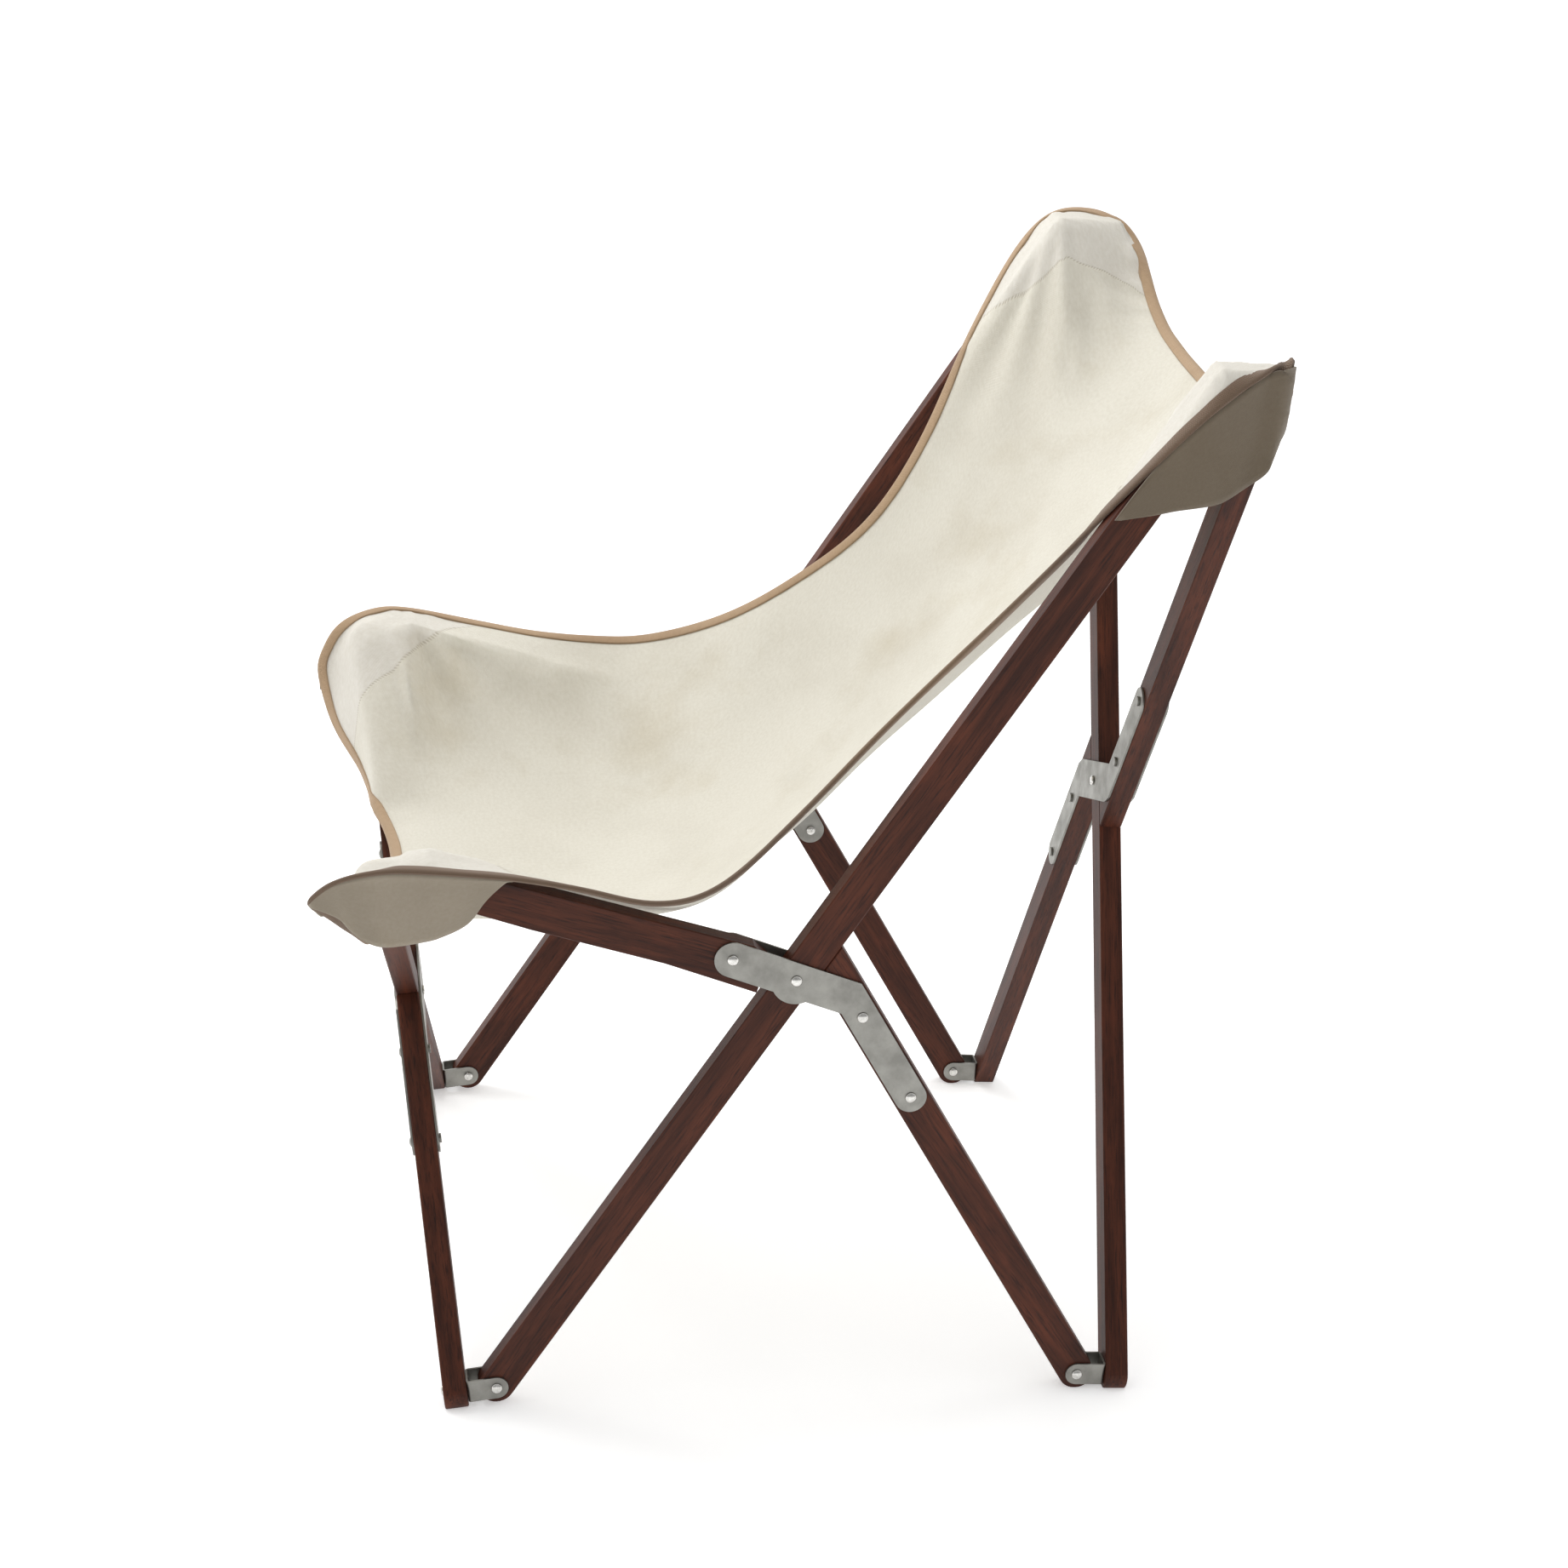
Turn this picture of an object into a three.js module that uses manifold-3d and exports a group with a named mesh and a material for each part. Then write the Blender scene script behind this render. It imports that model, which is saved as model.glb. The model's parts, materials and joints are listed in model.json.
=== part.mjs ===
// A folding sling chair: crossed wooden sticks joined by riveted steel plates and
// brackets, with a canvas sling hung over the four upper corners.
// Millimetres. +X is the chair's near side, +Y its back, +Z up.

import * as THREE from 'three';
import { mergeVertices } from 'three/addons/utils/BufferGeometryUtils.js';
import Module from 'manifold-3d';

const wasm = await Module();
wasm.setup();

// Side view: the two foot hinges, the crossing pivot and the arm pivot.
const FOOT_HINGE_SPACING = 580;
const FRONT_HINGE_HEIGHT = 21;
const REAR_HINGE_HEIGHT = 16.9;
const BACK_STICK_BELOW_PIVOT = 513;
const BACK_STICK_ABOVE_PIVOT = 674;
const LEG_HINGE_TO_PIVOT = 536.6;
const PIVOT_OFFSET = 35.6;
const ARM_PIVOT_ALONG = 585.9;
const ARM_PIVOT_OFFSET = 76.4;
const ARM_LENGTH = 299.1;
const FRONT_LONG_STICK_SPAN = 858.7;

// Side sticks.
const SIDE_STICK_WIDTH = 35;
const SIDE_STICK_THICKNESS = 20;
const EASED_EDGE = 1;
const ARM_LOWER_EDGE = 21.3;
const ARM_HEEL_EDGE = 27.3;
const ARM_HEEL = 33;
const ARM_HEEL_START = 60;
const ARM_TAPER = 110;
const ARM_HEEL_CUT_ALONG = 17;
const ARM_HEEL_CUT_ACROSS = 8.5;

// Front and rear sticks.
const CROSS_STICK_WIDTH = 30;
const CROSS_STICK_THICKNESS = 23;
const HALF_STICK_OFFSET = 38.5;
const FOOT_EXTENSION = 5;

// Sheet steel.
const SHEET = 2;
const FIT = 0.3;
const BRACKET_HEIGHT = 23;
const BRACKET_DEPTH = 26.7;
const BEND_RADIUS = 3;
const ELBOW_LEG_WIDTH = 31;
const ELBOW_ARM_WIDTH = 35;
const ELBOW_LOBE_RADIUS = 24;
const ELBOW_LOWER_RIVET = 368.3;
const ELBOW_UPPER_RIVET = 468.3;
const CROSS_PLATE_ARM_WIDTH = 28;
const CROSS_PLATE_BAND_WIDTH = 40;
const CROSS_PLATE_CHAMFER = 8;
const CROSS_PLATE_NEAR_RIVET = 78;
const CROSS_PLATE_FAR_RIVET = 174;
const CROSS_PLATE_DIP = THREE.MathUtils.degToRad(48.2);

// Rivets.
const SHANK_RADIUS = 3;
const HOLE_RADIUS = SHANK_RADIUS + FIT;
const DOME_RADIUS = 5.5;
const DOME_HEIGHT = 3;
const TAIL_RADIUS = 5;
const TAIL_HEIGHT = 2;
const FUSE = 0.5;

// Sling and corner pockets.
const CANVAS = 2;
const HEM = 3.4;
const DRAPE_CLEARANCE = 9;
const DRAPE_SHOULDER = 13;
const DRAPE_OVERHANG = 12;
const POCKET_GAP = 3;
const POCKET_CLEARANCE = 7;
const BACK_POCKET_DEPTH = 98;
const FRONT_POCKET_DEPTH = 84;
const BACK_POCKET_DRAW = 10;
const FRONT_POCKET_DRAW = 17;

const OVERRUN = 10;
const ROUND_SEGMENTS = 10;
const ARC_SEGMENTS = 8;
const DOME_STEPS = 3;

const WOOD = { color: 0x4b2a20, roughness: 0.55, metalness: 0 };
const STEEL = { color: 0xa9aaa4, roughness: 0.42, metalness: 0.85 };
const RIVET = { color: 0xc6c7c2, roughness: 0.25, metalness: 0.9 };
const CANVAS_CLOTH = { color: 0xded9c9, roughness: 0.95, metalness: 0 };

const v2 = (x, y) => new THREE.Vector2(x, y);
const v3 = (x, y, z) => new THREE.Vector3(x, y, z);
const X = v3(1, 0, 0);

// Solids.

function toSolid(geometry) {
  const bare = new THREE.BufferGeometry();
  bare.setAttribute('position', geometry.getAttribute('position'));
  bare.setIndex(geometry.getIndex());
  const welded = mergeVertices(bare);
  return new wasm.Manifold(new wasm.Mesh({
    numProp: 3,
    vertProperties: new Float32Array(welded.getAttribute('position').array),
    triVerts: new Uint32Array(welded.getIndex().array),
  }));
}

function toGeometry(solid) {
  const mesh = solid.getMesh();
  const geometry = new THREE.BufferGeometry();
  geometry.setAttribute('position', new THREE.BufferAttribute(mesh.vertProperties, 3));
  geometry.setIndex(new THREE.BufferAttribute(mesh.triVerts, 1));
  geometry.computeVertexNormals();
  return geometry;
}

function carve(geometry, cutters) {
  const carved = cutters.reduce((solid, cutter) => solid.subtract(toSolid(cutter)), toSolid(geometry));
  return toGeometry(carved);
}

function join(geometries) {
  return toGeometry(geometries.map(toSolid).reduce((whole, piece) => whole.add(piece)));
}

function prism(outline, thickness, ease = 0) {
  const geometry = new THREE.ExtrudeGeometry(outline, {
    depth: thickness - 2 * ease,
    bevelEnabled: ease > 0,
    bevelThickness: ease,
    bevelSize: ease,
    bevelOffset: -ease,
    bevelSegments: 1,
    curveSegments: ARC_SEGMENTS,
  });
  return geometry.translate(0, 0, ease - thickness / 2);
}

// A drill for a hole along Z.
function drill(at, radius = HOLE_RADIUS) {
  const length = CROSS_STICK_THICKNESS + 2 * OVERRUN;
  const bit = new THREE.CylinderGeometry(radius, radius, length, ROUND_SEGMENTS);
  return bit.rotateX(Math.PI / 2).translate(at.x, at.y, 0);
}

// Turned along Y: a flat tail below the grip, a shank through it and a dome above it.
function rivet(from, to, { tail = true } = {}) {
  const profile = [];
  if (tail) {
    const tailTop = from - FIT;
    profile.push(v2(0, tailTop - TAIL_HEIGHT), v2(TAIL_RADIUS, tailTop - TAIL_HEIGHT));
    profile.push(v2(TAIL_RADIUS, tailTop), v2(SHANK_RADIUS, tailTop));
  } else {
    profile.push(v2(0, from), v2(SHANK_RADIUS, from));
  }
  profile.push(v2(SHANK_RADIUS, to + FIT), ...domeProfile(to + FIT));
  return new THREE.LatheGeometry(profile, ROUND_SEGMENTS);
}

function domeProfile(base, rise = DOME_HEIGHT) {
  return Array.from({ length: DOME_STEPS + 1 }, (_, step) => {
    const angle = (Math.PI / 2) * (step / DOME_STEPS);
    return v2(step === DOME_STEPS ? 0 : DOME_RADIUS * Math.cos(angle), base + rise * Math.sin(angle));
  });
}

function head(base) {
  const profile = [v2(0, base - FUSE), v2(DOME_RADIUS, base - FUSE), ...domeProfile(base)];
  return new THREE.LatheGeometry(profile, ROUND_SEGMENTS);
}

function disc(from, to) {
  const profile = [v2(0, from), v2(TAIL_RADIUS, from), v2(TAIL_RADIUS, to), v2(0, to)];
  return new THREE.LatheGeometry(profile, ROUND_SEGMENTS);
}

// Side view geometry, with a point as (y, z).

function meet(centreA, radiusA, centreB, radiusB) {
  const gap = centreB.clone().sub(centreA);
  const distance = gap.length();
  const along = (radiusA ** 2 - radiusB ** 2 + distance ** 2) / (2 * distance);
  const across = Math.sqrt(radiusA ** 2 - along ** 2);
  const forward = gap.normalize();
  const left = v2(-forward.y, forward.x);
  return centreA.clone().addScaledVector(forward, along).addScaledVector(left, across);
}

const frontHinge = v2(0, FRONT_HINGE_HEIGHT);
const hingeDrop = FRONT_HINGE_HEIGHT - REAR_HINGE_HEIGHT;
const rearHinge = v2(Math.sqrt(FOOT_HINGE_SPACING ** 2 - hingeDrop ** 2), REAR_HINGE_HEIGHT);
const pivot = meet(frontHinge, BACK_STICK_BELOW_PIVOT, rearHinge, LEG_HINGE_TO_PIVOT);
const backStickLength = BACK_STICK_BELOW_PIVOT + BACK_STICK_ABOVE_PIVOT;
const backTop = frontHinge.clone().lerp(pivot, backStickLength / BACK_STICK_BELOW_PIVOT);

// A stick's frame: x is its left side seen along it, y runs along it, z is towards -X.
function sideFrame(origin, direction) {
  return { origin, direction, left: v2(-direction.y, direction.x) };
}

function inFrame(frame, point) {
  const offset = point.clone().sub(frame.origin);
  return v2(offset.dot(frame.left), offset.dot(frame.direction));
}

function fromFrame(frame, point) {
  return frame.origin.clone().addScaledVector(frame.left, point.x).addScaledVector(frame.direction, point.y);
}

function sideMatrix(frame, x) {
  const left = v3(0, frame.left.x, frame.left.y);
  const along = v3(0, frame.direction.x, frame.direction.y);
  const matrix = new THREE.Matrix4().makeBasis(left, along, X.clone().negate());
  return matrix.setPosition(x, frame.origin.x, frame.origin.y);
}

const pivotAlong = Math.sqrt(LEG_HINGE_TO_PIVOT ** 2 - PIVOT_OFFSET ** 2);
const legTurn = Math.atan2(PIVOT_OFFSET, pivotAlong);
const legDirection = pivot.clone().sub(rearHinge).normalize().rotateAround(v2(0, 0), -legTurn);
const legFrame = sideFrame(rearHinge, legDirection);
const backFrame = sideFrame(frontHinge, pivot.clone().sub(frontHinge).normalize());
const armPivot = fromFrame(legFrame, v2(ARM_PIVOT_OFFSET, ARM_PIVOT_ALONG));

// The rear face is a pair of equal crossed sticks, which sets the chair's width.
const rearHeight = backTop.distanceTo(rearHinge);
const rearHalfSpan = (LEG_HINGE_TO_PIVOT + BACK_STICK_ABOVE_PIVOT) / 2;
const frameWidth = Math.sqrt((2 * rearHalfSpan) ** 2 - rearHeight ** 2);
const halfWidth = frameWidth / 2;
const frontHeight = Math.sqrt(FRONT_LONG_STICK_SPAN ** 2 - frameWidth ** 2);
const frontTop = meet(frontHinge, frontHeight, armPivot, ARM_LENGTH);
const armFrame = sideFrame(armPivot, frontTop.clone().sub(armPivot).normalize());

// Layers, measured from a side stick's middle and outward from a face's hinge axis.
const earInner = SIDE_STICK_THICKNESS / 2 + FIT;
const earOuter = earInner + SHEET;
const webOuter = BRACKET_DEPTH + SHEET;
const crossInner = webOuter + FIT;
const crossMiddle = crossInner + CROSS_STICK_THICKNESS / 2;
const crossOuter = crossInner + CROSS_STICK_THICKNESS;
const outerPlateInner = crossOuter + FIT;
const outerPlateOuter = outerPlateInner + SHEET;

// A face's frame: x runs across, u up through the hinges, n outward.
function makeFace(name, foot, top, sign) {
  const up = top.clone().sub(foot).normalize();
  const height = top.distanceTo(foot);
  const across = v3(sign, 0, 0);
  const rise = v3(0, up.x, up.y);
  const matrix = new THREE.Matrix4().makeBasis(across, rise, across.clone().cross(rise));
  matrix.setPosition(0, foot.x, foot.y);
  const halfSpan = Math.hypot(frameWidth, height) / 2;
  const longLean = Math.atan2(frameWidth, height);
  const halfLean = longLean - Math.asin(HALF_STICK_OFFSET / halfSpan);
  const halfReach = Math.sqrt(halfSpan ** 2 - HALF_STICK_OFFSET ** 2);
  return { name, sign, height, matrix, halfSpan, longLean, halfLean, halfReach };
}

const rearFace = makeFace('rear', rearHinge, backTop, -1);
const frontFace = makeFace('front', frontHinge, frontTop, 1);

const inFace = (face, matrix) => face.matrix.clone().multiply(matrix);
const shift = (x, y, z) => new THREE.Matrix4().makeTranslation(x, y, z);
const turnZ = (angle) => new THREE.Matrix4().makeRotationZ(angle);
const turnX = (angle) => new THREE.Matrix4().makeRotationX(angle);

// The height at which a straight line crosses x, for bevelled stick ends.
function crossing(point, direction, x) {
  return point.y + ((x - point.x) * direction.y) / direction.x;
}

// Outlines.

// Left and right edges at plus and minus half, with a round or a bevelled far end.
function stickOutline(half, startAt, end) {
  const outline = new THREE.Shape();
  outline.absarc(0, startAt, half, Math.PI, 2 * Math.PI, false);
  if (end.round !== undefined) {
    outline.absarc(0, end.round, half, 0, Math.PI, false);
  } else {
    outline.lineTo(half, end.bevel(half));
    outline.lineTo(-half, end.bevel(-half));
  }
  outline.closePath();
  return outline;
}

function backStick() {
  const half = SIDE_STICK_WIDTH / 2;
  const holes = [0, BACK_STICK_BELOW_PIVOT, backStickLength].map((at) => drill(v2(0, at)));
  return carve(prism(stickOutline(half, 0, { round: backStickLength }), SIDE_STICK_THICKNESS, EASED_EDGE), holes);
}

// The leg stops under the back stick, and its bevel is the stop of the opened frame.
function legStick() {
  const half = SIDE_STICK_WIDTH / 2;
  const backRight = backFrame.left.clone().negate();
  const edge = pivot.clone().addScaledVector(backRight, half + FIT);
  const edgeInLeg = inFrame(legFrame, edge);
  const slope = v2(backFrame.direction.dot(legFrame.left), backFrame.direction.dot(legFrame.direction));
  const outline = stickOutline(half, 0, { bevel: (x) => crossing(edgeInLeg, slope, x) });
  const holes = [0, ELBOW_LOWER_RIVET, ELBOW_UPPER_RIVET].map((at) => drill(v2(0, at)));
  return carve(prism(outline, SIDE_STICK_THICKNESS, EASED_EDGE), holes);
}

function seatArm() {
  const half = SIDE_STICK_WIDTH / 2;
  const outline = new THREE.Shape();
  outline.moveTo(-half, ARM_HEEL_CUT_ALONG - ARM_HEEL);
  outline.lineTo(-half + ARM_HEEL_CUT_ACROSS, -ARM_HEEL);
  outline.lineTo(ARM_HEEL_EDGE, -ARM_HEEL);
  outline.lineTo(ARM_LOWER_EDGE, ARM_HEEL_START);
  outline.lineTo(ARM_LOWER_EDGE, ARM_LENGTH - ARM_TAPER);
  outline.absarc(0, ARM_LENGTH, half, 0, Math.PI, false);
  outline.closePath();
  const holes = [0, ARM_LENGTH].map((at) => drill(v2(0, at)));
  return carve(prism(outline, SIDE_STICK_THICKNESS, EASED_EDGE), holes);
}

function longStick(face) {
  const half = CROSS_STICK_WIDTH / 2;
  const span = 2 * face.halfSpan;
  const outline = stickOutline(half, -FOOT_EXTENSION, { round: span });
  const holes = [0, face.halfSpan, span].map((at) => drill(v2(0, at)));
  return carve(prism(outline, CROSS_STICK_THICKNESS, EASED_EDGE), holes);
}

// A half stick ends against the long stick's side, the stop of the opened cross.
function halfStick(face, extension) {
  const half = CROSS_STICK_WIDTH / 2;
  const turn = face.longLean + face.halfLean;
  const longDirection = v2(Math.sin(turn), Math.cos(turn));
  const stopOffset = v2(Math.cos(turn), -Math.sin(turn)).multiplyScalar(half + FIT);
  const stop = v2(-HALF_STICK_OFFSET, face.halfReach).add(stopOffset);
  const outline = stickOutline(half, -extension, { bevel: (x) => crossing(stop, longDirection, x) });
  const rivets = [CROSS_PLATE_NEAR_RIVET, CROSS_PLATE_FAR_RIVET].map((from) => face.halfReach - from);
  const holes = [0, ...rivets].map((at) => drill(v2(0, at)));
  return carve(prism(outline, CROSS_STICK_THICKNESS, EASED_EDGE), holes);
}

// Steel.

// The elbow plate, drawn in the leg's frame: straight along the leg, then along the
// line through both pivots, with a lobe below the crossing pivot.
function elbowPlate() {
  const crossingPivot = v2(PIVOT_OFFSET, pivotAlong);
  const tip = v2(ARM_PIVOT_OFFSET, ARM_PIVOT_ALONG);
  const legHalf = ELBOW_LEG_WIDTH / 2;
  const armHalf = ELBOW_ARM_WIDTH / 2;
  const reach = tip.clone().sub(crossingPivot).normalize();
  const lower = v2(reach.y, -reach.x);
  const armAngle = Math.atan2(lower.y, lower.x);
  const upperEdge = crossingPivot.clone().addScaledVector(lower, -armHalf);
  const lowerEdge = crossingPivot.clone().addScaledVector(lower, armHalf);
  const lobeSpread = Math.acos(armHalf / ELBOW_LOBE_RADIUS);
  const outline = new THREE.Shape();
  outline.absarc(0, ELBOW_LOWER_RIVET, legHalf, 0, Math.PI, true);
  outline.lineTo(-legHalf, crossing(upperEdge, reach, -legHalf));
  outline.absarc(tip.x, tip.y, armHalf, armAngle + Math.PI, armAngle, true);
  const { x: pivotX, y: pivotY } = crossingPivot;
  outline.absarc(pivotX, pivotY, ELBOW_LOBE_RADIUS, armAngle + lobeSpread, armAngle - lobeSpread, true);
  outline.lineTo(legHalf, crossing(lowerEdge, reach, legHalf));
  outline.closePath();
  const holes = [v2(0, ELBOW_LOWER_RIVET), v2(0, ELBOW_UPPER_RIVET), crossingPivot, tip];
  return carve(prism(outline, SHEET), holes.map((at) => drill(at)));
}

// The cross plate: two arms on the half sticks, offset to both sides of the centre
// pivot, and a band between them. Its upper half is turned half round for the lower.
function crossPlateOutline() {
  const half = CROSS_PLATE_ARM_WIDTH / 2;
  const bandHalf = CROSS_PLATE_BAND_WIDTH / 2;
  const along = v2(Math.cos(CROSS_PLATE_DIP), -Math.sin(CROSS_PLATE_DIP));
  const across = v2(Math.sin(CROSS_PLATE_DIP), Math.cos(CROSS_PLATE_DIP));
  const lowerEdge = across.clone().multiplyScalar(-bandHalf);
  const outerX = -HALF_STICK_OFFSET - half;
  const innerX = half - HALF_STICK_OFFSET;
  const corner = v2(outerX, crossing(lowerEdge, along, outerX));
  const afterCorner = corner.clone().addScaledVector(along, CROSS_PLATE_CHAMFER);
  const innerCorner = v2(-innerX, crossing(lowerEdge, along, -innerX));
  const outline = new THREE.Shape();
  for (const turn of [1, -1]) {
    const start = turn > 0 ? 0 : Math.PI;
    outline.absarc(-turn * HALF_STICK_OFFSET, turn * CROSS_PLATE_FAR_RIVET, half, start, start + Math.PI, false);
    outline.lineTo(turn * corner.x, turn * (corner.y + CROSS_PLATE_CHAMFER));
    outline.lineTo(turn * afterCorner.x, turn * afterCorner.y);
    outline.lineTo(turn * innerCorner.x, turn * innerCorner.y);
  }
  outline.closePath();
  return outline;
}

function crossPlateRivets() {
  const places = [];
  for (const turn of [1, -1]) {
    for (const at of [CROSS_PLATE_NEAR_RIVET, CROSS_PLATE_FAR_RIVET]) {
      places.push(v2(-turn * HALF_STICK_OFFSET, turn * at));
    }
  }
  return places;
}

function innerCrossPlate() {
  const holes = [v2(0, 0), ...crossPlateRivets()].map((at) => drill(at));
  return carve(prism(crossPlateOutline(), SHEET), holes);
}

// The outer plate carries the heads of its four fixed rivets, which clamp the inner one.
function outerCrossPlate() {
  const middle = (outerPlateInner + outerPlateOuter) / 2;
  const plate = carve(prism(crossPlateOutline(), SHEET), [drill(v2(0, 0))]);
  const rivets = crossPlateRivets().map((at) => {
    const fixed = rivet(crossInner - FIT - SHEET, outerPlateOuter - FIT - FUSE);
    return fixed.rotateX(Math.PI / 2).translate(at.x, at.y, -middle);
  });
  return join([plate, ...rivets]);
}

function bracketProfile() {
  const foot = -BRACKET_HEIGHT / 2;
  const inner = BEND_RADIUS - SHEET;
  const outline = new THREE.Shape();
  const quarter = Math.PI / 2;
  outline.moveTo(earOuter, foot);
  outline.lineTo(earOuter, webOuter - BEND_RADIUS);
  outline.absarc(earOuter - BEND_RADIUS, webOuter - BEND_RADIUS, BEND_RADIUS, 0, quarter, false);
  outline.absarc(BEND_RADIUS - earOuter, webOuter - BEND_RADIUS, BEND_RADIUS, quarter, Math.PI, false);
  outline.lineTo(-earOuter, foot);
  outline.lineTo(-earInner, foot);
  outline.absarc(inner - earInner, BRACKET_DEPTH - inner, inner, Math.PI, quarter, true);
  outline.absarc(earInner - inner, BRACKET_DEPTH - inner, inner, quarter, 0, true);
  outline.lineTo(earInner, foot);
  outline.closePath();
  return outline;
}

// A bent bracket: two ears round the side stick, and a web that the cross stick swivels on.
function bracket({ earRivet, webRivet, outward }) {
  const half = BRACKET_HEIGHT / 2;
  const channel = prism(bracketProfile(), BRACKET_HEIGHT).rotateX(Math.PI / 2);
  const ear = new THREE.Shape();
  ear.absarc(0, 0, half, Math.PI, 2 * Math.PI, false);
  ear.lineTo(half, webOuter + OVERRUN);
  ear.lineTo(-half, webOuter + OVERRUN);
  ear.closePath();
  const earBlock = prism(ear, 2 * (earOuter + OVERRUN));
  earBlock.applyMatrix4(new THREE.Matrix4().makeBasis(v3(0, 1, 0), v3(0, 0, 1), X));
  const rounded = toGeometry(toSolid(channel).intersect(toSolid(earBlock)));
  const additions = [rounded];
  const cuts = [];
  const towards = outward * Math.PI / 2;
  if (earRivet) {
    const bit = new THREE.CylinderGeometry(HOLE_RADIUS, HOLE_RADIUS, 2 * (earOuter + OVERRUN), ROUND_SEGMENTS);
    cuts.push(bit.rotateZ(Math.PI / 2));
  } else {
    additions.push(head(earOuter).rotateZ(-towards));
    additions.push(disc(earOuter - FUSE, earOuter + TAIL_HEIGHT).rotateZ(towards));
  }
  if (webRivet) {
    const bit = new THREE.CylinderGeometry(HOLE_RADIUS, HOLE_RADIUS, SHEET + 2 * OVERRUN, ROUND_SEGMENTS);
    cuts.push(bit.rotateX(Math.PI / 2).translate(0, 0, webOuter));
  } else {
    additions.push(disc(BRACKET_DEPTH - TAIL_HEIGHT, BRACKET_DEPTH + FUSE).rotateX(Math.PI / 2));
  }
  return carve(join(additions), cuts);
}

// The sling's places, as shares: across is of the frame's half width, and along and
// above are of the line between the front and back tops.
const topLine = sideFrame(frontTop, backTop.clone().sub(frontTop).normalize());
const topSpan = backTop.distanceTo(frontTop);
const place = (along, above) => fromFrame(topLine, v2(above * topSpan, along * topSpan));

const SIDE_EDGE_SHARES = [
  [1.06, -0.125, 0.023],
  [1.1, -0.065, 0.05],
  [1.12, -0.02, 0.043],
  [1.115, 0.015, 0.022],
  [1.095, 0.085, -0.038],
  [1.1, 0.14, -0.094],
  [1.12, 0.2, -0.149],
  [1.06, 0.267, -0.181],
  [0.88, 0.375, -0.187],
  [0.755, 0.487, -0.175],
  [0.71, 0.597, -0.155],
  [0.8, 0.705, -0.114],
  [0.99, 0.826, -0.052],
  [1.09, 0.932, -0.01],
  [1.1, 0.993, 0.004],
  [1.06, 1.052, 0],
  [0.96, 1.078, -0.018],
];
const MIDDLE_SHARES = [
  [-0.108, -0.126],
  [-0.079, -0.153],
  [-0.017, -0.201],
  [0.072, -0.26],
  [0.187, -0.313],
  [0.355, -0.33],
  [0.585, -0.288],
  [0.807, -0.223],
  [0.933, -0.163],
  [1.025, -0.104],
];
const SAG_POWER_MIDDLE = 2.1;
const SAG_POWER_ENDS = 3;

const sideEdge = new THREE.CatmullRomCurve3(SIDE_EDGE_SHARES.map(([across, along, above]) => {
  const point = place(along, above);
  return v3(across * halfWidth, point.x, point.y);
}));
const middleLine = new THREE.CatmullRomCurve3(MIDDLE_SHARES.map(([along, above]) => {
  const point = place(along, above);
  return v3(0, point.x, point.y);
}));

// The top of a round-ended bar seen from the side, above a given y.
function barTop(from, to, radius, y) {
  const up = sideFrame(from, to.clone().sub(from).normalize()).left;
  const lift = up.y > 0 ? radius : -radius;
  const left = from.clone().addScaledVector(up, lift);
  const right = to.clone().addScaledVector(up, lift);
  const heights = [from, to].filter((end) => Math.abs(y - end.x) < radius)
    .map((end) => end.y + Math.sqrt(radius ** 2 - (y - end.x) ** 2));
  if (y > Math.min(left.x, right.x) && y < Math.max(left.x, right.x)) {
    heights.push(crossing(left, right.clone().sub(left), y));
  }
  return Math.max(-Infinity, ...heights);
}

function crossStickEnd(top, foot, away) {
  const up = top.clone().sub(foot).normalize();
  const outward = v2(-up.y, up.x).multiplyScalar(away);
  const layers = [crossInner - DRAPE_OVERHANG, crossOuter + DRAPE_OVERHANG];
  return layers.map((n) => top.clone().addScaledVector(outward, n));
}

// Where the canvas lies over the frame, it is held up like a tent on a ridge, with
// these slopes on the ridge's inner and outer sides.
const DRAPE_INNER_SLOPE = 1.2;
const DRAPE_FRONT_SLOPE = 0.8;
const DRAPE_OUTER_SLOPE = 1.1;

const supports = [
  [frontTop, armPivot, SIDE_STICK_WIDTH / 2, DRAPE_INNER_SLOPE],
  [pivot, backTop, SIDE_STICK_WIDTH / 2, DRAPE_INNER_SLOPE],
  [...crossStickEnd(frontTop, frontHinge, 1), CROSS_STICK_WIDTH / 2, DRAPE_FRONT_SLOPE],
  [...crossStickEnd(backTop, rearHinge, -1), CROSS_STICK_WIDTH / 2, DRAPE_INNER_SLOPE],
];

function tentHeight(x, y) {
  const shoulder = SIDE_STICK_THICKNESS / 2 + DRAPE_SHOULDER;
  const beside = Math.max(0, Math.abs(x - halfWidth) - shoulder);
  return DRAPE_CLEARANCE + Math.max(...supports.map(([from, to, radius, innerSlope]) => {
    const slope = x < halfWidth ? innerSlope : DRAPE_OUTER_SLOPE;
    return barTop(from, to, radius, y) - beside * slope;
  }));
}

function slingPoint(u, v) {
  const edge = sideEdge.getPoint(v);
  const middle = middleLine.getPoint(v);
  const across = Math.abs(u);
  const power = SAG_POWER_MIDDLE + (SAG_POWER_ENDS - SAG_POWER_MIDDLE) * (2 * v - 1) ** 2;
  const point = middle.lerp(edge, across ** power);
  point.x = edge.x * across;
  point.z = Math.max(point.z, tentHeight(point.x, point.y));
  point.x *= Math.sign(u);
  return point;
}

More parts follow.
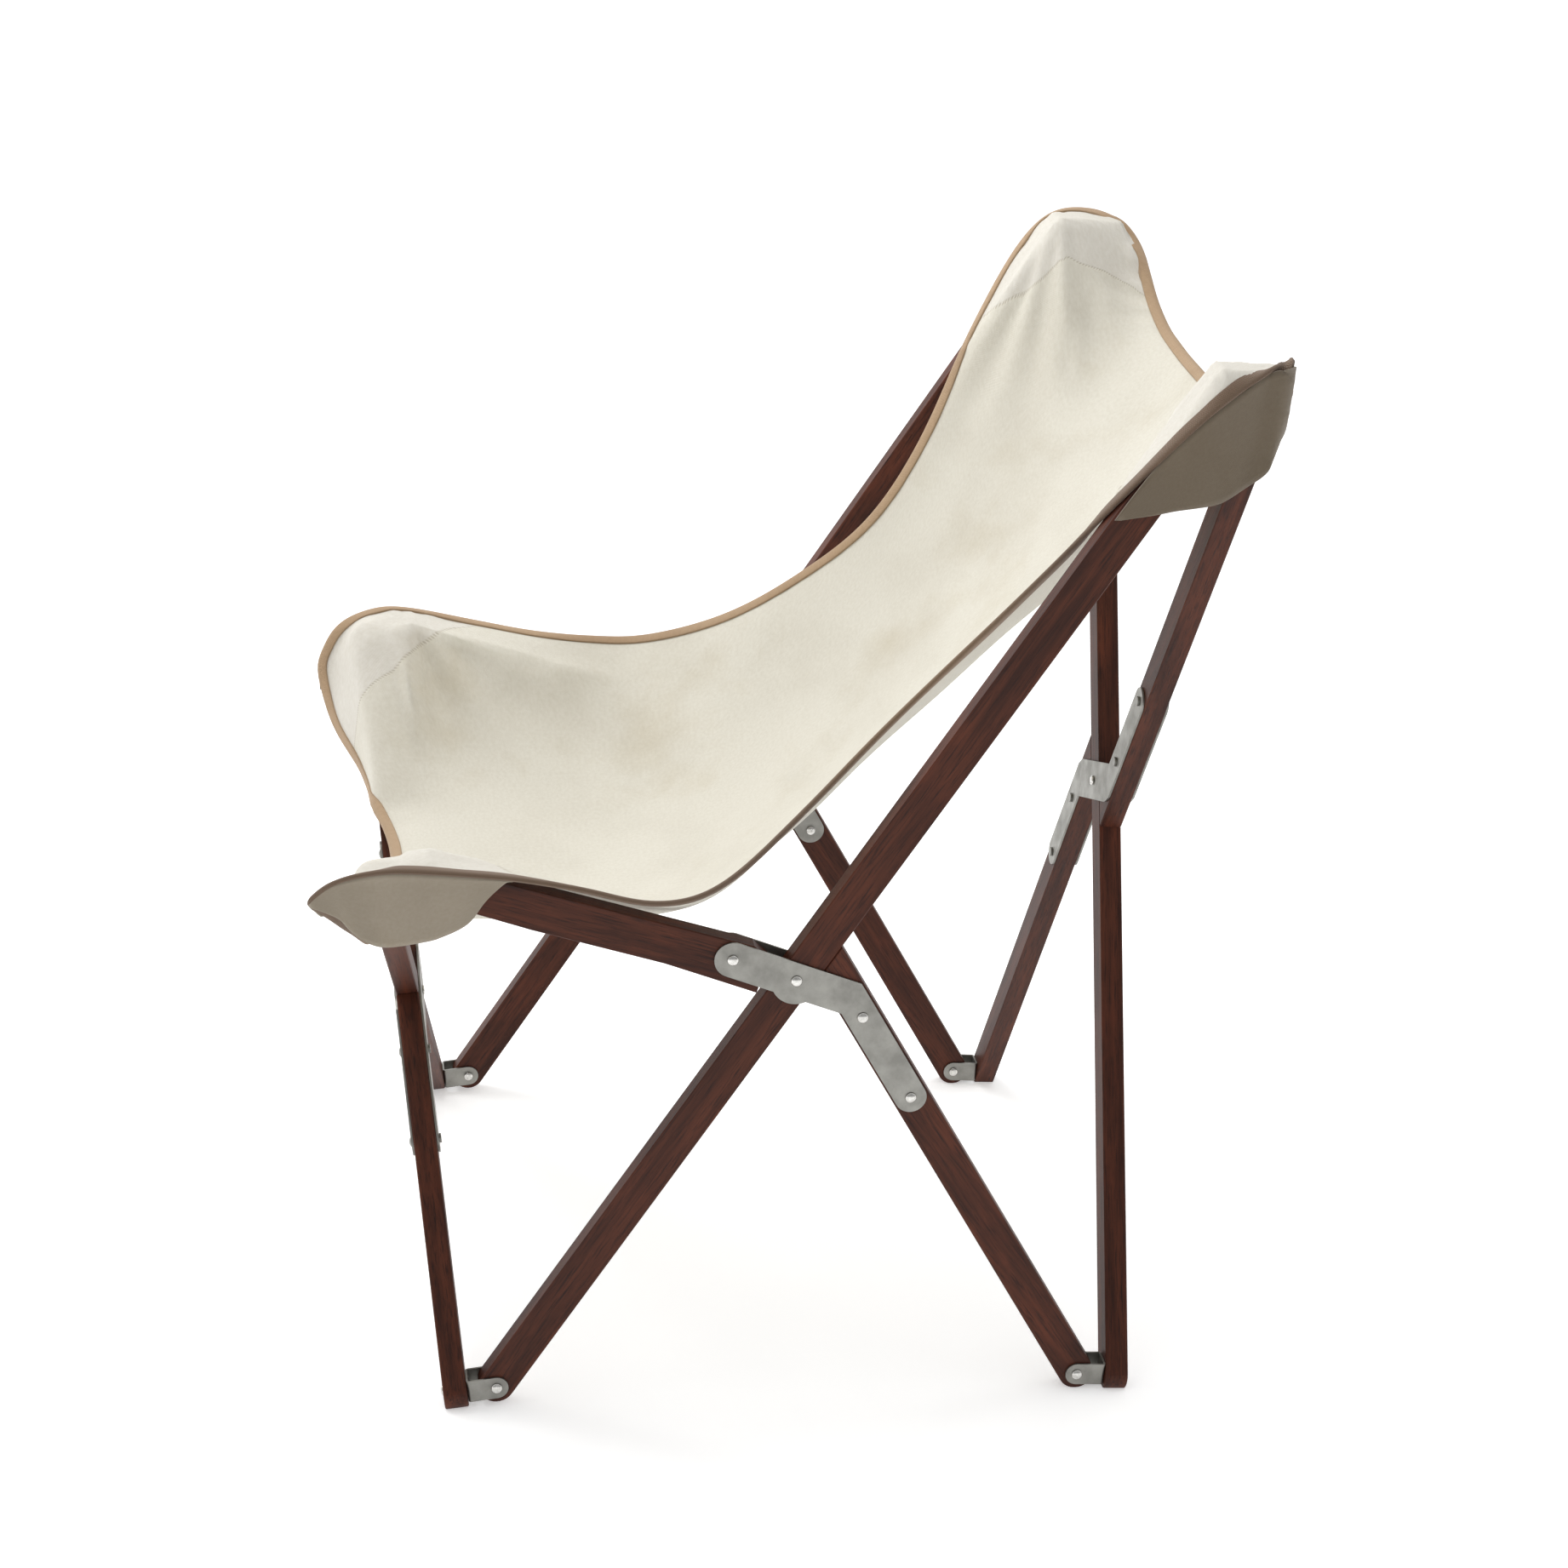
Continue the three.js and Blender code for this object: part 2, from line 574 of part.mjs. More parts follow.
// A closed sheet round a surface, thicker along its hem.
function sheet(pointAt, us, vs, thickness, hem) {
  const positions = [];
  const columns = us.length;
  const rows = vs.length;
  const step = 1 / (4 * rows);
  const clamp = (value, values) => THREE.MathUtils.clamp(value, values[0], values[values.length - 1]);
  const normalAt = (u, v) => {
    const alongU = pointAt(clamp(u + step, us), v).sub(pointAt(clamp(u - step, us), v));
    const alongV = pointAt(u, clamp(v + step, vs)).sub(pointAt(u, clamp(v - step, vs)));
    return alongU.cross(alongV).normalize();
  };
  for (const face of [1, -1]) {
    vs.forEach((v, row) => us.forEach((u, column) => {
      const onHem = row % (rows - 1) === 0 || column % (columns - 1) === 0;
      const offset = (face * (onHem ? hem : thickness)) / 2;
      positions.push(...pointAt(u, v).addScaledVector(normalAt(u, v), offset).toArray());
    }));
  }
  const under = rows * columns;
  const index = [];
  const quad = (a, b, c, d) => index.push(a, b, c, a, c, d);
  for (let row = 0; row < rows - 1; row += 1) {
    for (let column = 0; column < columns - 1; column += 1) {
      const corner = row * columns + column;
      quad(corner, corner + 1, corner + columns + 1, corner + columns);
      quad(under + corner, under + corner + columns, under + corner + columns + 1, under + corner + 1);
    }
    const left = row * columns;
    const right = left + columns - 1;
    quad(left, left + columns, under + left + columns, under + left);
    quad(right, under + right, under + right + columns, right + columns);
  }
  for (let column = 0; column < columns - 1; column += 1) {
    const last = (rows - 1) * columns + column;
    quad(column, under + column, under + column + 1, column + 1);
    quad(last, last + 1, under + last + 1, under + last);
  }
  const geometry = new THREE.BufferGeometry();
  geometry.setAttribute('position', new THREE.Float32BufferAttribute(positions, 3));
  geometry.setIndex(index);
  geometry.computeVertexNormals();
  return geometry;
}

function mirrored(geometry) {
  const copy = geometry.clone().scale(-1, 1, 1);
  const index = Array.from(copy.getIndex().array);
  for (let corner = 0; corner < index.length; corner += 3) {
    [index[corner], index[corner + 1]] = [index[corner + 1], index[corner]];
  }
  copy.setIndex(index);
  copy.computeVertexNormals();
  return copy;
}

const HALF_ACROSS_SHARES = [0.22, 0.42, 0.6, 0.74, 0.81, 0.87, 0.945, 1];
const slingAcross = [...HALF_ACROSS_SHARES.map((u) => -u).reverse(), 0, ...HALF_ACROSS_SHARES];
const SLING_ROWS = 34;
const slingAlong = Array.from({ length: SLING_ROWS + 1 }, (_, row) => row / SLING_ROWS);

// A pocket hangs from the sling's hem round one corner. Its stations give the place
// on the hem and the shares of the pocket's depth and of its draw, out or in.
const BACK_POCKET_SHARES = [
  [1, 0.77, 0, -0.6],
  [1, 0.8, 0.45, -1],
  [1, 0.835, 0.8, -1],
  [1, 0.87, 0.95, -1],
  [1, 0.905, 1, -0.9],
  [1, 0.94, 1, -0.2],
  [1, 0.97, 0.95, 0.7],
  [1, 1, 0.75, 0.8],
  [0.93, 1, 0.5, 0.3],
  [0.85, 1, 0, 0],
];
const FRONT_POCKET_SHARES = [
  [1, 0.28, 0, -0.5],
  [1, 0.25, 0.5, -0.9],
  [1, 0.215, 0.85, -1],
  [1, 0.17, 1, -1],
  [1, 0.125, 1, -0.9],
  [1, 0.085, 0.9, -0.5],
  [1, 0.045, 0.55, -0.1],
  [1, 0, 0.15, 0],
  [0.93, 0, 0, 0],
];
const POCKET_ROWS = 5;
const POCKET_ROUNDING = 0.6;

// A pocket passes outside the upper end of a crossed stick and its rivet's head.
function clearOfStick(point, top, away) {
  const sideClear = halfWidth + CROSS_STICK_WIDTH / 2 + POCKET_CLEARANCE;
  const endClear = top.x + away * (outerPlateOuter + DOME_HEIGHT + POCKET_CLEARANCE);
  const sideways = sideClear - point.x;
  const endways = (endClear - point.y) * away;
  if (sideways <= 0 || endways <= 0) return;
  if (sideways < endways) {
    point.x = sideClear;
  } else {
    point.y = endClear;
  }
}

function pocket(shares, depth, draw, top, away) {
  const stationAt = (share) => {
    const scaled = share * (shares.length - 1);
    const first = Math.min(Math.floor(scaled), shares.length - 2);
    return shares[first].map((value, i) => THREE.MathUtils.lerp(value, shares[first + 1][i], scaled - first));
  };
  const corner = v3(halfWidth, top.x + away * crossMiddle, 0);
  const pointAt = (down, share) => {
    const [u, v, drop, out] = stationAt(share);
    const point = slingPoint(u, v);
    const outward = point.clone().sub(corner).setZ(0).normalize();
    point.addScaledVector(outward, out * draw * down ** POCKET_ROUNDING);
    point.z -= HEM / 2 + CANVAS / 2 + POCKET_GAP + depth * drop * down;
    clearOfStick(point, top, away);
    return point;
  };
  const downs = Array.from({ length: POCKET_ROWS + 1 }, (_, row) => row / POCKET_ROWS);
  const stations = Array.from({ length: 2 * shares.length - 1 }, (_, i) => i / (2 * shares.length - 2));
  return { pointAt, downs, stations };
}

const group = new THREE.Group();
group.name = 'butterfly_sling_chair';

function add(name, geometry, matrix, look) {
  const mesh = new THREE.Mesh(geometry, new THREE.MeshStandardMaterial(look));
  mesh.name = name;
  mesh.applyMatrix4(matrix);
  group.add(mesh);
}

// Cuts a stick level with the floor.
function onFloor(geometry, matrix) {
  const reach = 4 * FOOT_HINGE_SPACING;
  const floor = new THREE.BoxGeometry(reach, reach, reach).translate(0, 0, -reach / 2);
  return carve(geometry, [floor.applyMatrix4(matrix.clone().invert())]);
}

function addSide(side, sign) {
  const x = sign * halfWidth;
  const plateMiddle = (earInner + earOuter) / 2;
  const leg = sideMatrix(legFrame, x);
  add(`${side}_back_stick`, backStick(), sideMatrix(backFrame, x), WOOD);
  add(`${side}_leg_stick`, onFloor(legStick(), leg), leg, WOOD);
  add(`${side}_seat_arm`, seatArm(), sideMatrix(armFrame, x), WOOD);
  add(`${side}_outer_elbow_plate`, elbowPlate(), sideMatrix(legFrame, x + sign * plateMiddle), STEEL);
  add(`${side}_inner_elbow_plate`, elbowPlate(), sideMatrix(legFrame, x - sign * plateMiddle), STEEL);
  const outward = new THREE.Matrix4().makeRotationZ((-sign * Math.PI) / 2);
  const sideRivet = (name, at) => {
    const matrix = shift(x, at.x, at.y).multiply(outward);
    add(`${side}_${name}`, rivet(-earOuter, earOuter), matrix, RIVET);
  };
  sideRivet('crossing_pivot_rivet', pivot);
  sideRivet('arm_pivot_rivet', armPivot);
  sideRivet('upper_plate_rivet', fromFrame(legFrame, v2(0, ELBOW_UPPER_RIVET)));
  sideRivet('lower_plate_rivet', fromFrame(legFrame, v2(0, ELBOW_LOWER_RIVET)));
  sideRivet('rear_foot_hinge_rivet', rearHinge);
  sideRivet('front_foot_hinge_rivet', frontHinge);
  sideRivet('front_top_hinge_rivet', frontTop);
}

// Corners: true rivets where the frame turns, and heads without a shank where the
// fold's closed loop is opened.
const CORNERS = [
  { name: 'near_rear_foot', face: rearFace, sign: 1, top: false, earRivet: true, webRivet: true },
  { name: 'far_rear_foot', face: rearFace, sign: -1, top: false, earRivet: true, webRivet: true },
  { name: 'near_back_top', face: rearFace, sign: 1, top: true, earRivet: false, webRivet: true },
  { name: 'far_back_top', face: rearFace, sign: -1, top: true, earRivet: false, webRivet: true },
  { name: 'near_front_foot', face: frontFace, sign: 1, top: false, earRivet: true, webRivet: false },
  { name: 'far_front_foot', face: frontFace, sign: -1, top: false, earRivet: true, webRivet: false },
  { name: 'near_front_top', face: frontFace, sign: 1, top: true, earRivet: true, webRivet: true },
  { name: 'far_front_top', face: frontFace, sign: -1, top: true, earRivet: true, webRivet: false },
];

function addCorner({ name, face, sign, top, earRivet, webRivet }) {
  const matrix = inFace(face, shift(face.sign * sign * halfWidth, top ? face.height : 0, 0));
  const shape = bracket({ earRivet, webRivet, outward: sign * face.sign });
  add(`${name}_bracket`, shape, matrix, STEEL);
  const swivel = matrix.clone().multiply(turnX(Math.PI / 2));
  const pin = webRivet ? rivet(BRACKET_DEPTH, crossOuter) : rivet(crossInner, crossOuter, { tail: false });
  add(`${name}_swivel_rivet`, pin, swivel, RIVET);
}

function addFace(face) {
  const long = inFace(face, shift(-halfWidth, 0, crossMiddle).multiply(turnZ(-face.longLean)));
  const lower = inFace(face, shift(halfWidth, 0, crossMiddle).multiply(turnZ(face.halfLean)));
  const upperPlace = shift(-halfWidth, face.height, crossMiddle).multiply(turnZ(Math.PI + face.halfLean));
  add(`${face.name}_long_stick`, onFloor(longStick(face), long), long, WOOD);
  add(`${face.name}_lower_half_stick`, onFloor(halfStick(face, FOOT_EXTENSION), lower), lower, WOOD);
  add(`${face.name}_upper_half_stick`, halfStick(face, 0), inFace(face, upperPlace), WOOD);
  const centre = (n) => inFace(face, shift(0, face.height / 2, n).multiply(turnZ(face.halfLean)));
  const innerMiddle = crossInner - FIT - SHEET / 2;
  const outerMiddle = (outerPlateInner + outerPlateOuter) / 2;
  add(`${face.name}_inner_cross_plate`, innerCrossPlate(), centre(innerMiddle), STEEL);
  add(`${face.name}_outer_cross_plate`, outerCrossPlate(), centre(outerMiddle), STEEL);
  const pin = rivet(crossInner - FIT - SHEET, outerPlateOuter);
  add(`${face.name}_cross_rivet`, pin, centre(0).multiply(turnX(Math.PI / 2)), RIVET);
}

function addCloth() {
  const still = new THREE.Matrix4();
  add('canvas_sling', sheet(slingPoint, slingAcross, slingAlong, CANVAS, HEM), still, CANVAS_CLOTH);
  const back = pocket(BACK_POCKET_SHARES, BACK_POCKET_DEPTH, BACK_POCKET_DRAW, backTop, 1);
  const front = pocket(FRONT_POCKET_SHARES, FRONT_POCKET_DEPTH, FRONT_POCKET_DRAW, frontTop, -1);
  const backCloth = mirrored(sheet(back.pointAt, back.downs, back.stations, CANVAS, CANVAS));
  const frontCloth = sheet(front.pointAt, front.downs, front.stations, CANVAS, CANVAS);
  add('near_back_pocket', mirrored(backCloth), still, CANVAS_CLOTH);
  add('far_back_pocket', backCloth, still, CANVAS_CLOTH);
  add('near_front_pocket', frontCloth, still, CANVAS_CLOTH);
  add('far_front_pocket', mirrored(frontCloth), still, CANVAS_CLOTH);
}

addSide('near', 1);
addSide('far', -1);
addFace(rearFace);
addFace(frontFace);
CORNERS.forEach(addCorner);
addCloth();

// The origin is under the middle of the whole chair, on the floor.
group.updateMatrixWorld(true);
const bounds = new THREE.Box3().setFromObject(group, true);
const centre = bounds.getCenter(v3(0, 0, 0));
group.position.set(-centre.x, -centre.y, -bounds.min.z);
group.updateMatrixWorld(true);

export default group;
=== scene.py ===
# %% [markdown]
# # A folding sling chair
# A canvas sling hangs over the four upper corners of a folding frame of dark wooden
# sticks. The frame comes in as fixed parts at their real size, in metres, with +Z up.
# Each part keeps its place, so this lesson makes finishes, finer rivets and the cloth.

# %% Load the frame
import json
import math
import bmesh
import bpy
import numpy as np
from mathutils import Matrix, Vector
from mathutils.bvhtree import BVHTree


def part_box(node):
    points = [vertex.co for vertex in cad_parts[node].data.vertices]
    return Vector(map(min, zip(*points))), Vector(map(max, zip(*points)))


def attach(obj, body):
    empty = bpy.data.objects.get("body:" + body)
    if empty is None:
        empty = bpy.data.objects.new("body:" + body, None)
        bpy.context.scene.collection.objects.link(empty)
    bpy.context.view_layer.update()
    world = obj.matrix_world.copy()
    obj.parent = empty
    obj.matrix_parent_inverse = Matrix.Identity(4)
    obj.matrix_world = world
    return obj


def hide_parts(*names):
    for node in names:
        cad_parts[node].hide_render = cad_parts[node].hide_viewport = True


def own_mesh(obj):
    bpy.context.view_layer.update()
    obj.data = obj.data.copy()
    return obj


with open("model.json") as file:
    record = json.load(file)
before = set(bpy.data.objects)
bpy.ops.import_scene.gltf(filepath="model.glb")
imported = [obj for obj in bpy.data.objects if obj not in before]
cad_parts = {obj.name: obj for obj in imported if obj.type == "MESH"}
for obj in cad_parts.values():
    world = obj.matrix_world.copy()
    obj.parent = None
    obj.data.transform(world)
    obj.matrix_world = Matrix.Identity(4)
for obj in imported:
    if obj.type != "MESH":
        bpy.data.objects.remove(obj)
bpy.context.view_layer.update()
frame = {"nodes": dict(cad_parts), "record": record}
print("parts in the frame:", len(frame["nodes"]))

# %% [markdown]
# ## Camera, light and floor
# The chair was photographed from its front near corner, from a little above the seat,
# with a moderately long lens. The camera comes first, because every later choice is
# judged from it. Big soft lamps and a white world give the pale, nearly shadowless look.

# %% Camera
scene = bpy.context.scene
camera = bpy.data.objects.new("camera", bpy.data.cameras.new("camera"))
scene.collection.objects.link(camera)
camera.location = (2.91303, -0.42045, 1.68086)
camera.rotation_euler = [math.radians(a) for a in (68.43574, -3.03335, 82.1709)]
camera.data.lens = 70.4826
camera.data.sensor_width = 36
scene.camera = camera
scene.view_settings.view_transform = "Standard"
print("camera stands", round(camera.location.length, 2), "m from the chair's origin")


# %% Lamps
def soft_lamp(name, place, target, size, power):
    lamp = bpy.data.objects.new(name, bpy.data.lights.new(name, "AREA"))
    lamp.data.shape = "DISK"
    lamp.data.size = size
    lamp.data.energy = power
    lamp.location = place
    lamp.rotation_euler = (Vector(target) - Vector(place)).to_track_quat("-Z", "Y").to_euler()
    scene.collection.objects.link(lamp)
    return lamp


CHAIR_MIDDLE = (0, 0, 0.5)
lamps = [soft_lamp("ceiling_lamp", (-0.7, -0.7, 3.2), CHAIR_MIDDLE, 1.8, 37),
         soft_lamp("window_lamp", (-2.0, -3.0, 2.1), CHAIR_MIDDLE, 1.3, 23)]
print("lamps:", len(lamps))


# %% Helpers for nodes
def feed(tree, socket, value):
    """Link a socket to another one, or set it to a plain value."""
    if isinstance(value, bpy.types.NodeSocket):
        tree.links.new(value, socket)
    else:
        socket.default_value = value


def node(tree, kind, settings=None, inputs=None):
    made = tree.nodes.new(kind)
    for key, value in (settings or {}).items():
        setattr(made, key, value)
    for key, value in (inputs or {}).items():
        feed(tree, made.inputs[key], value)
    return made


# %% A white room, paler on the far side, and a backdrop that the camera sees as plain white
NEAR_LIGHT, FAR_LIGHT, BACKDROP = 0.42, 1.08, 1.05
world = bpy.data.worlds.new("white_room")
world.use_nodes = True
sky = world.node_tree
direction = node(sky, "ShaderNodeTexCoord")
parts = node(sky, "ShaderNodeSeparateXYZ", {}, {0: direction.outputs["Generated"]})
paling = node(sky, "ShaderNodeMapRange", {}, {
    "Value": parts.outputs["X"], "From Min": 0.55, "From Max": -0.25,
    "To Min": NEAR_LIGHT, "To Max": FAR_LIGHT})
ray = node(sky, "ShaderNodeLightPath")
strength = node(sky, "ShaderNodeMix", {}, {
    "Factor": ray.outputs["Is Camera Ray"], "A": paling.outputs["Result"], "B": BACKDROP})
feed(sky, sky.nodes["Background"].inputs["Strength"], strength.outputs["Result"])
feed(sky, sky.nodes["Background"].inputs["Color"], (1, 1, 1, 1))
scene.world = world
print("world:", world.name)

# %% Floor
FLOOR_HALF = 30
floor_bm = bmesh.new()
bmesh.ops.create_grid(floor_bm, x_segments=1, y_segments=1, size=FLOOR_HALF)
floor_mesh = bpy.data.meshes.new("studio_floor")
floor_bm.to_mesh(floor_mesh)
floor_bm.free()
studio_floor = bpy.data.objects.new("studio_floor", floor_mesh)
scene.collection.objects.link(studio_floor)
print("floor:", 2 * FLOOR_HALF, "m wide")

# %% [markdown]
# ## Shared effects
# Wood, canvas and steel all need broad uneven colour, and all the cloths share a weave.
# Each effect is a node group with its own inputs, placed in every material that uses
# it. The groups put out only colours, masks and heights, and the shaders stay outside.

# %% Helpers for node groups and colours
WHITE = (1, 1, 1, 1)


def new_group(name, inputs, outputs):
    group = bpy.data.node_groups.new(name, "ShaderNodeTree")
    for label, kind, value in inputs:
        socket = group.interface.new_socket(label, in_out="INPUT", socket_type=kind)
        if value is not None:
            socket.default_value = value
    for label, kind in outputs:
        group.interface.new_socket(label, in_out="OUTPUT", socket_type=kind)
    return group, group.nodes.new("NodeGroupInput"), group.nodes.new("NodeGroupOutput")


def mix_colours(tree, factor, first, second, blend="MIX"):
    mix = node(tree, "ShaderNodeMix", {"data_type": "RGBA", "blend_type": blend},
               {0: factor, 6: first, 7: second})
    return mix.outputs[2]


def multiplied(tree, first, second):
    return mix_colours(tree, 1.0, first, second, "MULTIPLY")


def ramp(tree, source, low, high):
    made = node(tree, "ShaderNodeMapRange", {}, {
        "From Min": low, "From Max": high, "Value": source})
    return made.outputs["Result"]


def calculated(tree, operation, inputs):
    return node(tree, "ShaderNodeMath", {"operation": operation}, inputs).outputs[0]


# %% Uneven colour
FLOAT, COLOUR, VECTOR = "NodeSocketFloat", "NodeSocketColor", "NodeSocketVector"
mottle, mottle_in, mottle_out = new_group(
    "mottled_colour",
    [("Vector", VECTOR, None), ("Light", COLOUR, WHITE), ("Dark", COLOUR, (0, 0, 0, 1)),
     ("Scale", FLOAT, 8.0), ("Low", FLOAT, 0.35), ("High", FLOAT, 0.65)],
    [("Colour", COLOUR), ("Mask", FLOAT)],
)
mottle_noise = node(mottle, "ShaderNodeTexNoise", {}, {
    "Detail": 5.0, "Roughness": 0.6,
    "Vector": mottle_in.outputs["Vector"], "Scale": mottle_in.outputs["Scale"]})
mottle_mask = ramp(mottle, mottle_noise.outputs["Fac"],
                   mottle_in.outputs["Low"], mottle_in.outputs["High"])
mottle_mix = mix_colours(mottle, mottle_mask,
                         mottle_in.outputs["Light"], mottle_in.outputs["Dark"])
feed(mottle, mottle_out.inputs["Colour"], mottle_mix)
feed(mottle, mottle_out.inputs["Mask"], mottle_mask)
print("group:", mottle.name)

# %% Plain weave
weave, weave_in, weave_out = new_group(
    "plain_weave", [("Vector", VECTOR, None), ("Threads", FLOAT, 700.0)], [("Height", FLOAT)]
)
weave_parts = node(weave, "ShaderNodeSeparateXYZ", {}, {0: weave_in.outputs["Vector"]})
waves = {}
for axis in (0, 1):
    turns = calculated(weave, "MULTIPLY", {
        0: weave_parts.outputs[axis], 1: weave_in.outputs["Threads"]})
    waves[axis] = calculated(weave, "SINE", {0: turns})
feed(weave, weave_out.inputs["Height"], calculated(weave, "MULTIPLY", waves))
print("group:", weave.name)

# %% [markdown]
# ## Finishes
# The sticks are a reddish tropical hardwood under worn dark oil, so their grain runs
# along each stick and their colour drifts from nearly black to a warm brown. The sheet
# steel is plated and dull, the rivets are bright, and the canvas is undyed cotton.


# %% A material with its shader
def finish(name, roughness, metallic=0.0, **constants):
    material = bpy.data.materials.new(name)
    material.use_nodes = True
    tree = material.node_tree
    shader = tree.nodes["Principled BSDF"]
    shader.inputs["Roughness"].default_value = roughness
    shader.inputs["Metallic"].default_value = metallic
    for key, value in constants.items():
        shader.inputs[key.replace("_", " ")].default_value = value
    return material, tree, shader


def place_group(tree, group, vector, inputs):
    return node(tree, "ShaderNodeGroup", {"node_tree": group}, {**inputs, "Vector": vector})


def bump(tree, shader, height, strength, distance):
    made = node(tree, "ShaderNodeBump", {}, {
        "Strength": strength, "Distance": distance, "Height": height})
    feed(tree, shader.inputs["Normal"], made.outputs["Normal"])


# %% Oiled wood, its grain turned along one stick
GRAIN_STRETCH = 0.06
PORE_COLOUR = (0.02, 0.007, 0.005, 1)
PORE_STRENGTH, PORE_DEPTH = 0.25, 0.0004


def oiled_wood(name, along):
    material, tree, shader = finish(
        name, 0.5, Specular_IOR_Level=0.2, Coat_Weight=0.03, Coat_Roughness=0.4)
    coordinates = node(tree, "ShaderNodeTexCoord")
    turned = node(tree, "ShaderNodeMapping", {}, {
        "Rotation": Vector(along).rotation_difference(Vector((1, 0, 0))).to_euler(),
        "Vector": coordinates.outputs["Object"]}).outputs["Vector"]
    stretched = node(tree, "ShaderNodeMapping", {}, {
        "Scale": (GRAIN_STRETCH, 1, 1), "Vector": turned}).outputs["Vector"]
    broad = place_group(tree, mottle, stretched, {
        "Light": (0.094, 0.026, 0.0125, 1), "Dark": (0.04, 0.0112, 0.006, 1),
        "Scale": 95.0, "Low": 0.36, "High": 0.66})
    fine = place_group(tree, mottle, stretched, {"Scale": 520.0, "Low": 0.5, "High": 0.72})
    pores = mix_colours(tree, fine.outputs["Mask"], broad.outputs["Colour"], PORE_COLOUR)
    worn = place_group(tree, mottle, turned, {
        "Light": WHITE, "Dark": (1.5, 1.42, 1.36, 1), "Scale": 9.0, "Low": 0.5, "High": 0.75})
    feed(tree, shader.inputs["Base Color"], multiplied(tree, pores, worn.outputs["Colour"]))
    bump(tree, shader, fine.outputs["Mask"], PORE_STRENGTH, PORE_DEPTH)
    return material


# %% Plated steel and bright rivets
POLISHED, DULLED = 0.38, 0.5


def plated_steel():
    material, tree, shader = finish("plated_steel", POLISHED, 0.9)
    coordinates = node(tree, "ShaderNodeTexCoord")
    spangle = place_group(tree, mottle, coordinates.outputs["Object"], {
        "Light": (0.32, 0.315, 0.29, 1), "Dark": (0.25, 0.245, 0.225, 1), "Scale": 45.0})
    feed(tree, shader.inputs["Base Color"], spangle.outputs["Colour"])
    dull = node(tree, "ShaderNodeMapRange", {}, {
        "To Min": POLISHED, "To Max": DULLED, "Value": spangle.outputs["Mask"]})
    feed(tree, shader.inputs["Roughness"], dull.outputs["Result"])
    return material


def bright_rivet():
    material, tree, shader = finish("bright_rivet", 0.2, 1.0)
    coordinates = node(tree, "ShaderNodeTexCoord")
    wear = place_group(tree, mottle, coordinates.outputs["Object"], {
        "Light": (0.78, 0.77, 0.74, 1), "Dark": (0.55, 0.54, 0.51, 1), "Scale": 260.0})
    feed(tree, shader.inputs["Base Color"], wear.outputs["Colour"])
    return material


# %% The stitched seams of the corners
DOUBLED_TINT, STITCH_SHADE = (1.0, 1.0, 1.035, 1), (0.76, 0.73, 0.68, 1)
STITCHES, SEAM_HALF, SEAM_CORE = 1500.0, 0.016, 0.005


def seam_line(tree, canvas_colour):
    """A row of stitches where a corner's pocket is sewn on, and doubled cloth inside it."""
    place = node(tree, "ShaderNodeUVMap", {"uv_map": "Seams"})
    parts = node(tree, "ShaderNodeSeparateXYZ", {}, {0: place.outputs["UV"]})
    away = calculated(tree, "SUBTRACT", {0: parts.outputs["X"], 1: 1.0})
    line = ramp(tree, calculated(tree, "ABSOLUTE", {0: away}), SEAM_HALF, SEAM_CORE)
    doubled = ramp(tree, parts.outputs["X"], 1.01, 0.99)
    panelled = multiplied(tree, canvas_colour, mix_colours(tree, doubled, WHITE, DOUBLED_TINT))
    turns = calculated(tree, "MULTIPLY", {0: parts.outputs["Y"], 1: STITCHES})
    dashes = ramp(tree, calculated(tree, "SINE", {0: turns}), -0.4, 0.2)
    stitched = calculated(tree, "MULTIPLY", {0: line, 1: dashes})
    shade = mix_colours(tree, stitched, WHITE, STITCH_SHADE)
    return multiplied(tree, panelled, shade), line


# %% Canvas and its binding tape
CANVAS_THREADS, CANVAS_RELIEF = 5200.0, 0.35
TAPE_THREADS, TAPE_RELIEF = 3600.0, 0.6
THREAD_DEPTH, SEAM_SINK = 0.0005, -2.0
# Painted shade: where the tape's colour darkens towards the near side, along X.
NEAR_SHADE_FROM, NEAR_SHADE_TO = 0.12, 0.3


def canvas_cloth(name, light, dark, threads, strength, seams=False, near_side_shade=None):
    material, tree, shader = finish(name, 0.92, Sheen_Weight=0.2, Sheen_Roughness=0.5)
    coordinates = node(tree, "ShaderNodeTexCoord")
    cloud = place_group(tree, mottle, coordinates.outputs["Object"], {
        "Light": light, "Dark": dark, "Scale": 5.5, "Low": 0.46, "High": 0.8})
    # Broad random darker patches on the canvas.
    dark_patches = place_group(tree, mottle, coordinates.outputs["Object"], {
        "Light": WHITE, "Dark": (0.88, 0.85, 0.79, 1), "Scale": 6.5, "Low": 0.55, "High": 0.78})
    slub = place_group(tree, mottle, coordinates.outputs["UV"], {
        "Light": WHITE, "Dark": (0.93, 0.92, 0.9, 1), "Scale": 240.0})
    colour = multiplied(tree, cloud.outputs["Colour"], slub.outputs["Colour"])
    colour = multiplied(tree, colour, dark_patches.outputs["Colour"])
    woven = place_group(tree, weave, coordinates.outputs["UV"], {"Threads": threads})
    height = woven.outputs["Height"]
    if seams:
        colour, line = seam_line(tree, colour)
        height = calculated(tree, "MULTIPLY_ADD", {0: line, 1: SEAM_SINK, 2: height})
    # Painted shade: the tape's colour is darkened towards the near side, which faces away from
    # the lamps.
    if near_side_shade:
        parts = node(tree, "ShaderNodeSeparateXYZ", {}, {0: coordinates.outputs["Object"]})
        near = ramp(tree, parts.outputs["X"], NEAR_SHADE_FROM, NEAR_SHADE_TO)
        colour = mix_colours(tree, near, colour, near_side_shade)
    feed(tree, shader.inputs["Base Color"], colour)
    bump(tree, shader, height, strength, THREAD_DEPTH)
    return material


